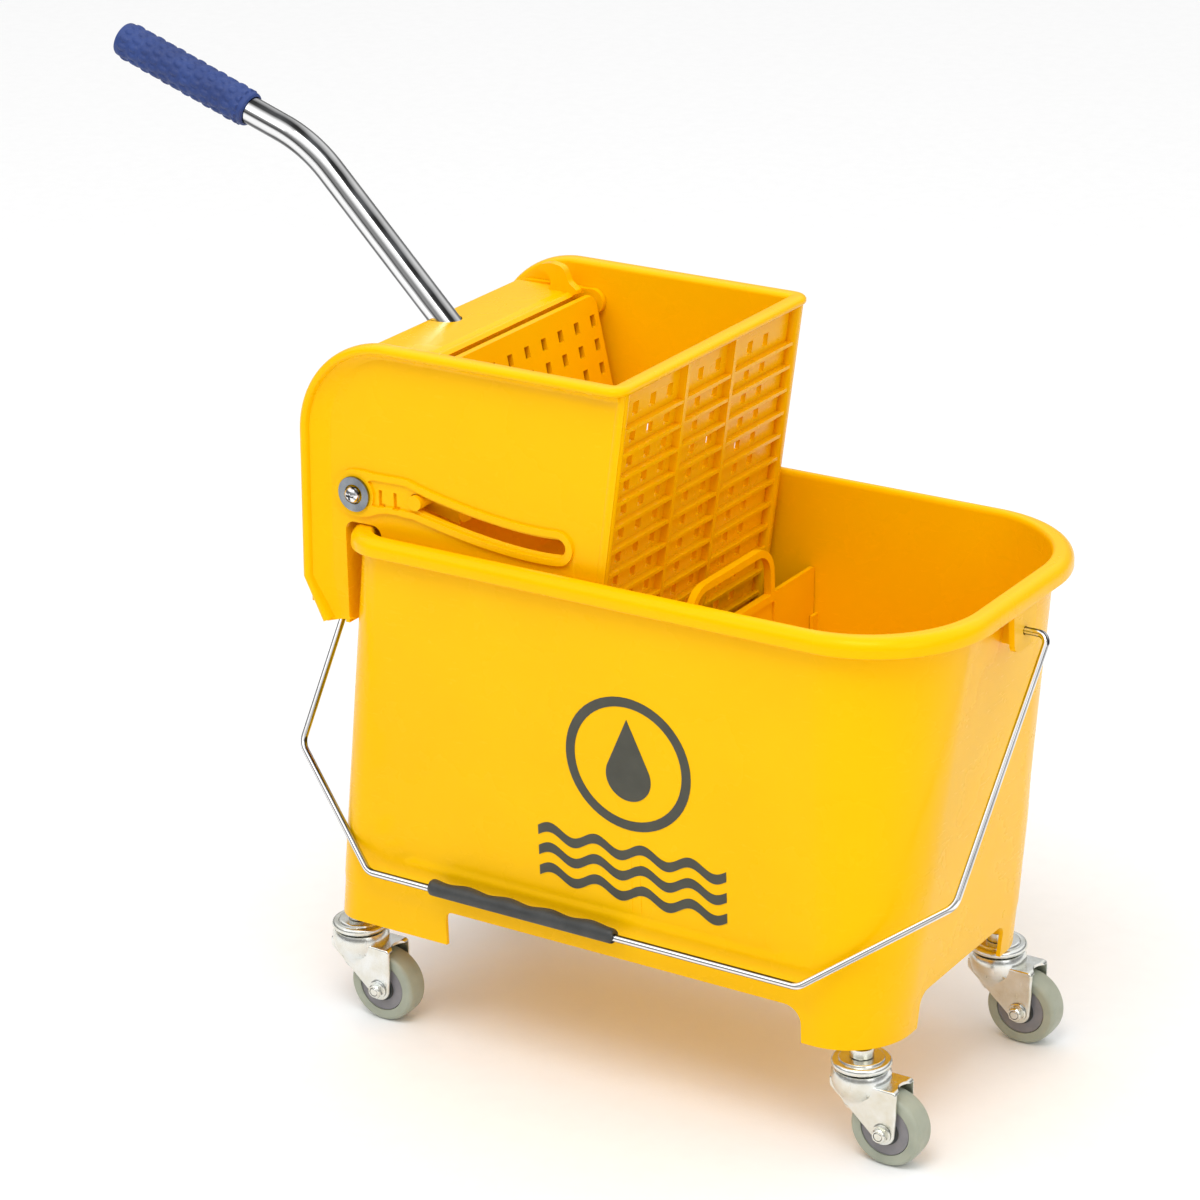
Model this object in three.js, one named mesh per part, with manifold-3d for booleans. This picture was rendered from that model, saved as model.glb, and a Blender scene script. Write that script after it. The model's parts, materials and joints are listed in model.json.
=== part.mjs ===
// Mop bucket with a lever wringer: a wheeled tub, a lift-out divider, a wire bail handle and a
// hook-on wringer whose press plate is driven by a long lever.  Millimetres, +Z up.
// X runs along the tub (+X is the open end, -X the wringer end), -Y is the front.
// Heights are above the floor; x = 0 is midway between the caster stems, y = 0 is the mid plane.

import * as THREE from 'three';
import { mergeVertices } from 'three/addons/utils/BufferGeometryUtils.js';
import Module from 'manifold-3d';

const wasm = await Module();
wasm.setup();

// ---------- driving dimensions ----------
const GAP = 0.3;                 // running gap between touching pieces
const WALL = 3.5;                // moulded wall of the tub
const SHEET = 3;                 // moulded wall of the wringer and the divider

const STEM_X = 193;              // caster stems, either side of x = 0
const STEM_Y = 95;
const STEM_R = 5.5;

const FOOT = { z: 76, left: -205, right: 213, half: 113, leftR: 22, rightR: 46 };
const NECK = { z: 349, left: -170, right: 242, half: 122, leftR: 22, rightR: 77 };
const RIM = { left: -177.5, right: 253, half: 129.5, leftR: 29, rightR: 82 };
const BOWL_FLOOR = 112;          // top of the tub's floor
const BOWL_LEFT = -158;          // inner end wall under the wringer
const RIM_TOP = 361;
const SKIRT_Z = 101;             // lower edge of the skirt between the feet
const FEET_INNER = { left: -110, right: 159, half: 58 };

const BAIL_PIVOT_Z = 335;
const BAIL_REACH = 247;          // pivot to the cross bar
const BAIL_SHOULDER = 175;       // pivot to the upper bends
const BAIL_WIRE_R = 2.4;
const BAIL_BEND_R = 12;
const BAIL_HANG = THREE.MathUtils.degToRad(30.7);
const BAIL = { leftPin: -180, leftTop: -231, leftBend: -240, leftBar: -162,
  rightBar: 164, rightBend: 253, rightTop: 268, rightPin: 245 };
const BAIL_GRIP = { from: -112, to: 30, r: 6.5 };
const BRACKET = { half: 14, low: 323, left: -190, right: 252 };

const DIVIDER_X = 38;
const DIVIDER_TOP = 298;
const LOOP = { centre: 5, half: 54, rise: 36, band: 6, r: 20 };

const CHEEK_IN = 107;            // inner face of the wringer's cheeks
const CHEEK_LIP = 119;           // outer edge of their lip
const CHEEK = { arcX: -142, arcZ: 419.5, arcR: 68, top: 487.5, leftLow: -212 };
const BASKET = { floor: 262, back: -153, slopeX: -128, slopeZ: 290 };
const APRON_LOW = 300;
const LEG_LOW = 291;             // lower end of the legs outside the tub's end wall
const LEG_TIP = -199;
const LEG_RETURN = 12;           // depth of the legs' inner return
const NOTCH_LEFT = -181;         // the notch over the tub's rim
const PANEL_TOP_X = 34;          // outer face of the front panel at its top
const PANEL_LEAN = 0.1407;       // x gained per mm of height
const PANEL_RIB = 6;             // depth of its ribs
const RIB_PITCH = 16.35;
const RIB_TOP_Z = 456;
const RIB_COUNT = 12;
const RIB_POSTS = [-33, 25.5];   // the upright ribs between the three columns of cells
const HOLE_DROP = 0.55;          // holes below each rib, in rib pitches
const TOP_HOLE_LIFT = 2.6;       // the top row stands a little higher
const HOLE_COLUMNS = [-86, -65.5, -45.5, -8, 13.5, 53.5, 73.5];

const PIVOT = { x: -171, z: 383 };           // lever pivot
const HINGE = { x: -126, z: 461 };           // press plate hinge on the lever head
const PLATE_PIN = { x: -124, z: 385 };       // press plate guide pin
const LEVER_TRAVEL = THREE.MathUtils.degToRad(43);
const PLATE_RATIO = 1.414;       // plate turn over lever turn, the other way, seen from the frame
const PIN_R = 5;
const PIN_ROD_R = 2.5;           // the hinge rod and the tube bolt
const WASHER = { in: 112.3, out: 114.4, r: 11.8 };
const SLOT_CLEAR = 0.6;
const PLATE_LEAN = THREE.MathUtils.degToRad(12.4);
const PLATE_LENGTH = 94;
const PLATE_HALF = 98;
const HEAD_HALF = 103;
const DECK_Z = 470;
const DECK_END_Y = 86;           // where the deck's far end rises

const TUBE_R = 9.5;
const TUBE_BORE = 8.2;
const TUBE_ENTRY = new THREE.Vector3(-178.5, 0, 472);
const TUBE_BEND = new THREE.Vector3(-279, 0, 574);
const TUBE_TIP = new THREE.Vector3(-429, 0, 626.5);
const TUBE_SOCKET = 40;          // length held in the head
const TUBE_BEND_R = 100;
const GRIP_LENGTH = 112;
const GRIP_R = 12.5;

const WHEEL_R = 25;
const TYRE_HALF = 9;
const TRAIL = 21.5;
const FORK_IN = 10.7;
const FORK_OUT = 12.7;
const RACE_R = 19.5;
const RACE_LOW = 62.3;           // lower face of the raceway, above the fork
const KING_R = 4;                // neck of the stem inside the swivel

// ---------- solids ----------
function weld(geometry) {
  const bare = geometry.clone();
  bare.deleteAttribute('normal');
  bare.deleteAttribute('uv');
  return mergeVertices(bare, 1e-3);
}

function volumeSign(points, tris) {
  let sum = 0;
  const corner = [new THREE.Vector3(), new THREE.Vector3(), new THREE.Vector3()];
  for (let i = 0; i < tris.length; i += 3) {
    corner.forEach((c, k) => c.fromArray(points, 3 * tris[i + k]));
    sum += corner[0].dot(corner[1].cross(corner[2]));
  }
  return Math.sign(sum);
}

function solid(geometry) {
  const merged = weld(geometry);
  const points = merged.attributes.position.array;
  const tris = [];
  const index = merged.index.array;
  for (let i = 0; i < index.length; i += 3) {
    const [a, b, c] = [index[i], index[i + 1], index[i + 2]];
    if (a !== b && b !== c && c !== a) tris.push(a, b, c);
  }
  if (volumeSign(points, tris) < 0) tris.reverse();
  const mesh = new wasm.Mesh({
    numProp: 3, vertProperties: new Float32Array(points), triVerts: new Uint32Array(tris),
  });
  return new wasm.Manifold(mesh);
}

function surface(body) {
  const found = body.getMesh();
  const geometry = new THREE.BufferGeometry();
  geometry.setAttribute('position', new THREE.BufferAttribute(found.vertProperties, 3));
  geometry.setIndex(new THREE.BufferAttribute(found.triVerts, 1));
  geometry.computeVertexNormals();
  return geometry;
}

const joined = (list) => list.reduce((all, one) => all.add(one));
const without = (body, list) => list.reduce((left, one) => left.subtract(one), body);

function block(x0, x1, y0, y1, z0, z1) {
  const geometry = new THREE.BoxGeometry(x1 - x0, y1 - y0, z1 - z0);
  geometry.translate((x0 + x1) / 2, (y0 + y1) / 2, (z0 + z1) / 2);
  return solid(geometry);
}

// A round bar between two points.
function bar(from, to, radius, sides = 16) {
  const along = new THREE.Vector3().subVectors(to, from);
  const geometry = new THREE.CylinderGeometry(radius, radius, along.length(), sides);
  const up = new THREE.Vector3(0, 1, 0);
  geometry.applyQuaternion(new THREE.Quaternion().setFromUnitVectors(up, along.clone().normalize()));
  geometry.translate(...from.clone().addScaledVector(along, 0.5).toArray());
  return solid(geometry);
}

const at = (x, y, z) => new THREE.Vector3(x, y, z);
const crossBar = (x, z, y0, y1, radius, sides) => bar(at(x, y0, z), at(x, y1, z), radius, sides);
const post = (x, y, z0, z1, radius, sides) => bar(at(x, y, z0), at(x, y, z1), radius, sides);

// An outline drawn in x and z, given thickness from y0 to y1.
function slab(shape, y0, y1, curveSegments = 12) {
  const settings = { depth: y1 - y0, bevelEnabled: false, curveSegments };
  const geometry = new THREE.ExtrudeGeometry(shape, settings);
  geometry.rotateX(Math.PI / 2);
  geometry.translate(0, y1, 0);
  return solid(geometry);
}

const outline = (points) => new THREE.Shape(points.map(([x, z]) => new THREE.Vector2(x, z)));

// A profile of [radius, height] pairs turned about Z.
function turned(profile, sides = 20) {
  const points = profile.map(([r, h]) => new THREE.Vector2(r, h));
  const geometry = new THREE.LatheGeometry(points, sides);
  geometry.rotateX(Math.PI / 2);
  return solid(geometry);
}

// The same, turned about Y, with one flat side facing down.
function turnedAcross(profile, sides) {
  const points = profile.map(([r, h]) => new THREE.Vector2(r / Math.cos(Math.PI / sides), h));
  const geometry = new THREE.LatheGeometry(points, sides, Math.PI / sides);
  return solid(geometry);
}

// ---------- lofted tub sections ----------
const CORNER_STEPS = 6;

function unitSection() {
  const shape = new THREE.Shape();
  const quarter = Math.PI / 2;
  const corners = [[0.5, 0.5], [-0.5, 0.5], [-0.5, -0.5], [0.5, -0.5]];
  corners.forEach(([x, y], k) => shape.absarc(x, y, 0.5, k * quarter, (k + 1) * quarter));
  return shape;
}

// Each level is a rounded rectangle: z, left, right, half width, and its two corner radii.
function loft(levels) {
  const settings = {
    depth: levels.length - 1, steps: levels.length - 1, bevelEnabled: false, curveSegments: CORNER_STEPS,
  };
  const geometry = new THREE.ExtrudeGeometry(unitSection(), settings);
  const place = geometry.attributes.position;
  for (let i = 0; i < place.count; i += 1) {
    const level = levels[Math.round(place.getZ(i))];
    const sx = Math.sign(place.getX(i));
    const sy = Math.sign(place.getY(i));
    const r = sx > 0 ? level.rightR : level.leftR;
    const cx = sx > 0 ? level.right - r : level.left + r;
    const cy = sy * (level.half - r);
    const ax = 2 * place.getX(i) - sx;
    const ay = 2 * place.getY(i) - sy;
    place.setXYZ(i, cx + r * ax, cy + r * ay, level.z);
  }
  return solid(geometry);
}

function sectionAt(z) {
  const t = (z - FOOT.z) / (NECK.z - FOOT.z);
  const mix = (key) => THREE.MathUtils.lerp(FOOT[key], NECK[key], t);
  return { z, left: mix('left'), right: mix('right'), half: mix('half'),
    leftR: mix('leftR'), rightR: mix('rightR') };
}

function grown(section, by, z = section.z) {
  return { z, left: section.left - by, right: section.right + by, half: section.half + by,
    leftR: section.leftR + by, rightR: section.rightR + by };
}

function bowlSection(z, growth) {
  const section = grown(sectionAt(z), growth - WALL);
  const t = (z - BOWL_FLOOR) / (RIM_TOP - BOWL_FLOOR);
  section.left = BOWL_LEFT - 3 * t - growth;
  return section;
}

// ---------- tub ----------
function rim() {
  return loft([grown(RIM, -7, 344), grown(RIM, -1, 348), grown(RIM, 0, 352),
    grown(RIM, 0, 358), grown(RIM, -3, RIM_TOP)]);
}

function bowl() {
  const lip = bowlSection(RIM_TOP - 6, 0);
  return loft([bowlSection(BOWL_FLOOR, 0), lip, grown(lip, 2.5, RIM_TOP + 1)]);
}

// The hollow under the floor and behind the sloping end wall.
function undersideHollow() {
  const top = 300;
  const inside = loft([grown(sectionAt(FOOT.z - 6), -WALL), grown(sectionAt(top), -WALL)]);
  const bowlSkin = loft([bowlSection(BOWL_FLOOR - WALL, WALL), bowlSection(NECK.z, WALL)]);
  return inside.subtract(bowlSkin);
}

// A cutting slab with round upper corners, low enough to clear the feet.
function archShape(from, to) {
  const r = 9;
  const low = FOOT.z - 20;
  const shape = new THREE.Shape();
  shape.moveTo(from, low);
  shape.lineTo(to, low);
  shape.lineTo(to, SKIRT_Z - r);
  shape.absarc(to - r, SKIRT_Z - r, r, 0, Math.PI / 2);
  shape.absarc(from + r, SKIRT_Z - r, r, Math.PI / 2, Math.PI);
  shape.lineTo(from, low);
  return shape;
}

function footArches() {
  const alongX = slab(archShape(FEET_INNER.left, FEET_INNER.right), -200, 200, 4);
  const settings = { depth: 600, bevelEnabled: false, curveSegments: 4 };
  const across = new THREE.ExtrudeGeometry(archShape(-FEET_INNER.half, FEET_INNER.half), settings);
  across.rotateX(Math.PI / 2);
  across.rotateZ(Math.PI / 2);
  across.translate(-300, 0, 0);
  return [alongX, solid(across)];
}

function stemSockets(outer) {
  const sockets = [];
  for (const sx of [-1, 1]) {
    for (const sy of [-1, 1]) {
      const x = sx * STEM_X;
      const y = sy * STEM_Y;
      sockets.push(post(x, y, FOOT.z + 2, BOWL_FLOOR - 1, 12, 16));
      const low = FOOT.z + 8;
      sockets.push(block(x - 22, x + 30, y - 1.5, y + 1.5, low, BOWL_FLOOR - 1));
      sockets.push(block(x - 1.5, x + 1.5, y - 30, y + 30, low, BOWL_FLOOR - 1));
    }
  }
  return joined(sockets).intersect(outer);
}

function stemHoles() {
  const holes = [];
  for (const sx of [-1, 1]) {
    for (const sy of [-1, 1]) {
      holes.push(post(sx * STEM_X, sy * STEM_Y, FOOT.z - 5, BOWL_FLOOR - 6, STEM_R + GAP, 12));
    }
  }
  return holes;
}

function bailBrackets() {
  const { half, low, left, right } = BRACKET;
  const top = NECK.z + 1;
  const ends = [[left, NECK.left + 1], [NECK.right - 3, right]];
  return ends.map(([x0, x1]) => block(x0, x1, -half, half, low, top));
}

function bailHoles() {
  const r = BAIL_WIRE_R + 0.5;
  const from = (x) => at(x, 0, BAIL_PIVOT_Z);
  return [bar(from(BAIL.leftPin + 1), from(-200), r, 10), bar(from(BAIL.rightPin - 1), from(270), r, 10)];
}

function dividerRails(outer) {
  const rails = [];
  for (const sy of [-1, 1]) {
    for (const x of [DIVIDER_X - 4.5, DIVIDER_X + 2]) {
      const y0 = sy > 0 ? 108.5 : -125;
      rails.push(block(x, x + 2.5, y0, y0 + 16.5, BOWL_FLOOR - 1, 265));
    }
  }
  return joined(rails).intersect(outer);
}

function makeTub() {
  const outer = loft([sectionAt(FOOT.z), sectionAt(NECK.z)]);
  const shell = without(outer.add(rim()).subtract(bowl()), [undersideHollow(), ...footArches()]);
  const fittings = [stemSockets(outer), dividerRails(outer), ...bailBrackets()];
  return without(joined([shell, ...fittings]), [...stemHoles(), ...bailHoles()]);
}

// ---------- divider ----------
function makeDivider() {
  const low = BOWL_FLOOR + GAP;
  const lowHalf = bowlSection(low, 0).half - 1;
  const topHalf = bowlSection(DIVIDER_TOP, 0).half - 1;
  const sheet = outline([[-lowHalf, low], [lowHalf, low], [topHalf, DIVIDER_TOP], [-topHalf, DIVIDER_TOP]]);
  const loop = new THREE.Shape();
  const ring = (shape, inset, base) => {
    const { centre, half, rise, r } = LOOP;
    const top = DIVIDER_TOP + rise - inset;
    shape.moveTo(centre - half + inset, base);
    shape.lineTo(centre + half - inset, base);
    shape.absarc(centre + half - r, top - r + inset, r - inset, 0, Math.PI / 2);
    shape.absarc(centre - half + r, top - r + inset, r - inset, Math.PI / 2, Math.PI);
    shape.lineTo(centre - half + inset, base);
  };
  ring(loop, 0, DIVIDER_TOP - 5);
  const hole = new THREE.Shape();
  ring(hole, LOOP.band, DIVIDER_TOP + 0.5);
  const turn = (shape, thick) => {
    const settings = { depth: thick, bevelEnabled: false, curveSegments: 5 };
    const geometry = new THREE.ExtrudeGeometry(shape, settings);
    geometry.rotateX(Math.PI / 2);
    geometry.rotateZ(Math.PI / 2);
    geometry.translate(DIVIDER_X - thick / 2, 0, 0);
    return solid(geometry);
  };
  return joined([turn(sheet, SHEET), turn(loop, 5)]).subtract(turn(hole, 8));
}

// ---------- wire and tube paths ----------
// A path through given points, sampled exactly at them.
class PointPath extends THREE.Curve {
  constructor(points) {
    super();
    this.points = points;
  }

  getPoint(t, target = new THREE.Vector3()) {
    const place = t * (this.points.length - 1);
    const k = Math.min(Math.floor(place), this.points.length - 2);
    return target.lerpVectors(this.points[k], this.points[k + 1], place - k);
  }

  getUtoTmapping(u) {
    return u;
  }
}

// Replaces each inner corner by an arc of the given radius.
function rounded(corners, radius, steps) {
  const points = [corners[0]];
  for (let i = 1; i < corners.length - 1; i += 1) {
    const back = new THREE.Vector3().subVectors(corners[i - 1], corners[i]).normalize();
    const ahead = new THREE.Vector3().subVectors(corners[i + 1], corners[i]).normalize();
    const half = back.angleTo(ahead) / 2;
    const reach = radius / Math.tan(half);
    const middle = back.clone().add(ahead).normalize();
    const centre = corners[i].clone().addScaledVector(middle, radius / Math.sin(half));
    const start = corners[i].clone().addScaledVector(back, reach).sub(centre);
    const end = corners[i].clone().addScaledVector(ahead, reach).sub(centre);
    const turn = start.angleTo(end);
    for (let k = 0; k <= steps; k += 1) {
      const a = Math.sin((1 - k / steps) * turn) / Math.sin(turn);
      const b = Math.sin((k / steps) * turn) / Math.sin(turn);
      points.push(centre.clone().addScaledVector(start, a).addScaledVector(end, b));
    }
  }
  points.push(corners[corners.length - 1]);
  return points;
}

function polygon(radius, sides) {
  const points = [];
  for (let k = 0; k < sides; k += 1) {
    const a = (2 * Math.PI * k) / sides;
    points.push(new THREE.Vector2(radius * Math.cos(a), radius * Math.sin(a)));
  }
  return points;
}

function along(points, radius, sides, bore = 0) {
  const section = new THREE.Shape(polygon(radius, sides));
  if (bore > 0) section.holes.push(new THREE.Path(polygon(bore, sides).reverse()));
  const settings = { steps: points.length - 1, extrudePath: new PointPath(points), bevelEnabled: false };
  return solid(new THREE.ExtrudeGeometry(section, settings));
}

// ---------- bail handle, drawn hanging straight down from its pivot line ----------
function makeBailWire() {
  const corners = [at(BAIL.leftPin, 0, 0), at(BAIL.leftTop, 0, 0), at(BAIL.leftBend, 0, -BAIL_SHOULDER),
    at(BAIL.leftBar, 0, -BAIL_REACH), at(BAIL.rightBar, 0, -BAIL_REACH),
    at(BAIL.rightBend, 0, -BAIL_SHOULDER), at(BAIL.rightTop, 0, 0), at(BAIL.rightPin, 0, 0)];
  const bendRadii = [6, BAIL_BEND_R];
  const topBends = rounded(corners.slice(0, 3), bendRadii[0], 3).slice(0, -1);
  const middle = rounded(corners.slice(1, 7), bendRadii[1], 3).slice(1, -1);
  const endBends = rounded(corners.slice(5), bendRadii[0], 3).slice(1);
  return along([...topBends, ...middle, ...endBends], BAIL_WIRE_R, 8);
}

function makeBailGrip() {
  const from = at(BAIL_GRIP.from, 0, -BAIL_REACH);
  const to = at(BAIL_GRIP.to, 0, -BAIL_REACH);
  const reach = at(1, 0, 0);
  const bore = bar(from.clone().sub(reach), to.clone().add(reach), BAIL_WIRE_R + GAP, 12);
  return bar(from, to, BAIL_GRIP.r, 14).subtract(bore);
}

// ---------- wringer ----------
const panelX = (z) => PANEL_TOP_X + (z - CHEEK.top) * PANEL_LEAN;

function pinPlace(turn) {
  const hinge = new THREE.Vector2(HINGE.x - PIVOT.x, HINGE.z - PIVOT.z);
  hinge.rotateAround(new THREE.Vector2(), -turn);
  const arm = new THREE.Vector2(PLATE_PIN.x - HINGE.x, PLATE_PIN.z - HINGE.z);
  arm.rotateAround(new THREE.Vector2(), PLATE_RATIO * turn);
  return hinge.add(arm).add(new THREE.Vector2(PIVOT.x, PIVOT.z));
}

// The guide slot: the pin's path widened to a round-ended outline.
function slotOutline(half) {
  const steps = 8;
  const path = [];
  for (let k = 0; k <= steps; k += 1) path.push(pinPlace((LEVER_TRAVEL * k) / steps));
  const side = (k) => {
    const ahead = path[Math.min(k + 1, steps)].clone().sub(path[Math.max(k - 1, 0)]).normalize();
    return new THREE.Vector2(-ahead.y, ahead.x);
  };
  const points = [];
  const arcSteps = 6;
  const cap = (k, sign) => {
    const n = side(k).multiplyScalar(sign);
    for (let j = 0; j <= arcSteps; j += 1) {
      points.push(n.clone().rotateAround(new THREE.Vector2(), (-Math.PI * j) / arcSteps)
        .multiplyScalar(half).add(path[k]));
    }
  };
  for (let k = 1; k < steps; k += 1) points.push(side(k).multiplyScalar(half).add(path[k]));
  cap(steps, 1);
  for (let k = steps - 1; k > 0; k -= 1) points.push(side(k).multiplyScalar(-half).add(path[k]));
  cap(0, -1);
  return new THREE.Shape(points);
}

function cheekOutline() {
  const notch = { left: NOTCH_LEFT, right: BASKET.back, top: RIM_TOP + GAP };
  const shape = new THREE.Shape();
  shape.moveTo(notch.left, LEG_LOW);
  shape.lineTo(notch.left, notch.top);
  shape.lineTo(notch.right, notch.top);
  shape.lineTo(notch.right, BASKET.slopeZ);
  shape.lineTo(BASKET.slopeX, BASKET.floor);
  shape.lineTo(panelX(BASKET.floor), BASKET.floor);
  shape.lineTo(panelX(CHEEK.top), CHEEK.top);
  shape.absarc(CHEEK.arcX, CHEEK.arcZ, CHEEK.arcR, Math.PI / 2, Math.PI);
  shape.lineTo(CHEEK.leftLow, 322);
  shape.lineTo(LEG_TIP, LEG_LOW);
  return shape;
}

// The cheek's flat face, cut back behind the lip that runs up its end, round its arc and along its top.
function cheekRecess() {
  const shape = new THREE.Shape();
  const lip = SHEET;
  shape.moveTo(80, 200);
  shape.lineTo(80, CHEEK.top - lip);
  shape.absarc(CHEEK.arcX, CHEEK.arcZ, CHEEK.arcR - lip, Math.PI / 2, Math.PI);
  shape.lineTo(CHEEK.leftLow + lip, 323);
  shape.lineTo(LEG_TIP + 2, LEG_LOW - 3);
  shape.lineTo(LEG_TIP + 2, 200);
  return shape;
}

function cheek(side) {
  const span = (a, b) => (side > 0 ? [a, b] : [-b, -a]);
  const face = CHEEK_IN + SHEET;
  const plate = slab(cheekOutline(), ...span(CHEEK_IN, CHEEK_LIP), 10);
  const legSpan = span(CHEEK_IN - LEG_RETURN, face);
  const legEdge = block(NOTCH_LEFT - SHEET, NOTCH_LEFT, ...legSpan, LEG_LOW, RIM_TOP + 1);
  const recess = slab(cheekRecess(), ...span(face, CHEEK_LIP + 5), 10);
  const slotRidge = slab(slotOutline(PIN_R + 4), ...span(face - 1, face + 1.6));
  const boss = crossBar(PIVOT.x, PIVOT.z, ...span(face - 1, face + 2), 13, 18);
  return joined([plate.subtract(recess), legEdge, slotRidge, boss]);
}

// Floor, back wall, the saddle over the tub's end rim and the apron outside it, as one bent sheet.
function basketSheet() {
  const b = BASKET;
  const deck = RIM_TOP + GAP;
  const inner = panelX(CHEEK.top) - PANEL_RIB;
  const foot = panelX(b.floor) - PANEL_RIB;
  const sheet = outline([
    [inner, CHEEK.top], [foot, b.floor], [b.slopeX, b.floor], [b.back, b.slopeZ], [b.back, deck],
    [CHEEK.leftLow + SHEET, deck], [CHEEK.leftLow + SHEET, APRON_LOW], [CHEEK.leftLow, APRON_LOW],
    [CHEEK.leftLow, deck + SHEET], [b.back + SHEET, deck + SHEET], [b.back + SHEET, b.slopeZ + 1.5],
    [b.slopeX + 1.5, b.floor + SHEET], [foot - SHEET, b.floor + SHEET], [inner - SHEET, CHEEK.top]]);
  return slab(sheet, -CHEEK_IN - 1, CHEEK_IN + 1);
}

function panelStrip(z0, z1, y0, y1) {
  const root = PANEL_RIB + 1;
  const [low, high] = [panelX(z0), panelX(z1)];
  return slab(outline([[low - root, z0], [low, z0], [high, z1], [high - root, z1]]), y0, y1);
}

function panelRibs() {
  const edge = CHEEK_IN + SHEET;
  const ribs = [panelStrip(CHEEK.top - 5, CHEEK.top, -edge, edge)];
  for (let k = 0; k < RIB_COUNT; k += 1) {
    const z = RIB_TOP_Z - k * RIB_PITCH;
    ribs.push(panelStrip(z - 1.2, z + 1.2, -edge, edge));
  }
  for (const y of [-edge + 2, ...RIB_POSTS, edge - 2]) {
    ribs.push(panelStrip(BASKET.floor, CHEEK.top, y - 2, y + 2));
  }
  return ribs;
}

function panelHoles() {
  const holes = [];
  for (let k = -1; k < RIB_COUNT - 1; k += 1) {
    const lift = k < 0 ? TOP_HOLE_LIFT : 0;
    const z = RIB_TOP_Z - (k + HOLE_DROP) * RIB_PITCH + lift;
    const x = panelX(z) - PANEL_RIB;
    for (const y of HOLE_COLUMNS) holes.push(block(x - 6, x + 3, y - 3, y + 3, z - 3.3, z + 3.3));
  }
  return holes;
}

function floorHoles() {
  const holes = [];
  for (let i = 0; i < 3; i += 1) {
    for (let j = 0; j < 5; j += 1) {
      const x = -108 + i * 36;
      const y = -80 + j * 40;
      holes.push(block(x, x + 18, y - 5, y + 5, BASKET.floor - 4, BASKET.floor + 6));
    }
  }
  return holes;
}

function makeWringer() {
  const body = joined([cheek(-1), cheek(1), basketSheet(), ...panelRibs()]);
  const slot = slab(slotOutline(PIN_R + SLOT_CLEAR), -130, 130);
  const pivotHole = crossBar(PIVOT.x, PIVOT.z, -130, 130, 4.4, 16);
  const wireNotch = block(CHEEK.leftLow - 5, CHEEK.leftLow + 8, -9, 9, APRON_LOW - 5, BAIL_PIVOT_Z + 10);
  return without(body, [slot, pivotHole, wireNotch, joined(panelHoles()), joined(floorHoles())]);
}

// ---------- lever head, drawn about the lever pivot ----------
function headProfile() {
  const top = DECK_Z - PIVOT.z;
  const deck = [[-14, 4], [-13, top - 2], [-11, top], [36.5, top], [36.5, top - 6], [33, top - 14]];
  return outline([...deck, [14, -3], [0, -12], [-10, -9]]);
}

// A round ear for the hinge rod, with a neck back to the head's side.
function ear(y0, y1) {
  const x = HINGE.x - PIVOT.x;
  const z = HINGE.z - PIVOT.z;
  return crossBar(x, z, y0, y1, 9, 20).add(block(25, x, y0, y1, z - 8.5, z + 8.5));
}

// The upright end of the deck, above the hinge rod's far ear.
function deckEnd() {
  const top = DECK_Z - PIVOT.z;
  const foot = [[17, top - 2], [34, top - 2], [34, top + 1], [48, top + 1]];
  return slab(outline([...foot, [40, top + 12.5], [28, top + 12.5]]), DECK_END_Y, HEAD_HALF);
}

function tubeAxis() {
  const entry = TUBE_ENTRY.clone().sub(at(PIVOT.x, 0, PIVOT.z));
  const dir = new THREE.Vector3().subVectors(TUBE_BEND, TUBE_ENTRY).normalize();
  return { entry, dir, point: (t) => entry.clone().addScaledVector(dir, t) };
}

function makeLeverHead() {
  const top = DECK_Z - PIVOT.z;
  const profile = headProfile();
  const inner = HEAD_HALF - 4;
  const sides = [slab(profile, -HEAD_HALF, -inner), slab(profile, inner, HEAD_HALF)];
  const ears = [ear(-HEAD_HALF, -inner), ear(inner, HEAD_HALF)];
  const deck = block(-11, 34.5, -inner - 1, inner + 1, top - 4, top);
  const rear = slab(outline([[-14, 4], [-13, top - 1], [-9, top - 1], [-10, 4]]), -inner - 1, inner + 1);
  const hub = crossBar(0, 0, -CHEEK_IN + 0.5, CHEEK_IN - 0.5, 12, 18);
  const axis = tubeAxis();
  const socket = bar(axis.point(-TUBE_SOCKET - 4), axis.point(20), 14, 16);
  const core = socket.intersect(slab(profile, -20, 20));
  const body = joined([...sides, ...ears, deckEnd(), deck, rear, hub, core]);
  const bore = bar(axis.point(-TUBE_SOCKET - GAP), axis.point(40), TUBE_R + 2 * GAP, 16);
  const rodHole = crossBar(HINGE.x - PIVOT.x, HINGE.z - PIVOT.z, -120, 120, PIN_ROD_R + GAP, 12);
  const boltAt = axis.point(-TUBE_SOCKET / 2);
  const boltHole = crossBar(boltAt.x, boltAt.z, -30, 30, PIN_ROD_R + GAP, 10);
  const screwEnd = CHEEK_IN - 22;
  const screwHoles = [crossBar(0, 0, -120, -screwEnd, 3 + GAP, 12), crossBar(0, 0, screwEnd, 120, 3 + GAP, 12)];
  return without(body, [bore, rodHole, boltHole, ...screwHoles]);
}

function makeTubeBolt() {
  const boltAt = tubeAxis().point(-TUBE_SOCKET / 2);
  const shank = crossBar(boltAt.x, boltAt.z, -18, 18, PIN_ROD_R, 10);
  const head = crossBar(boltAt.x, boltAt.z, -18, -15.4, 4.5, 6);
  const nut = crossBar(boltAt.x, boltAt.z, 15.4, 19, 4.5, 6);
  return joined([shank, head, nut]);
}

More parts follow.
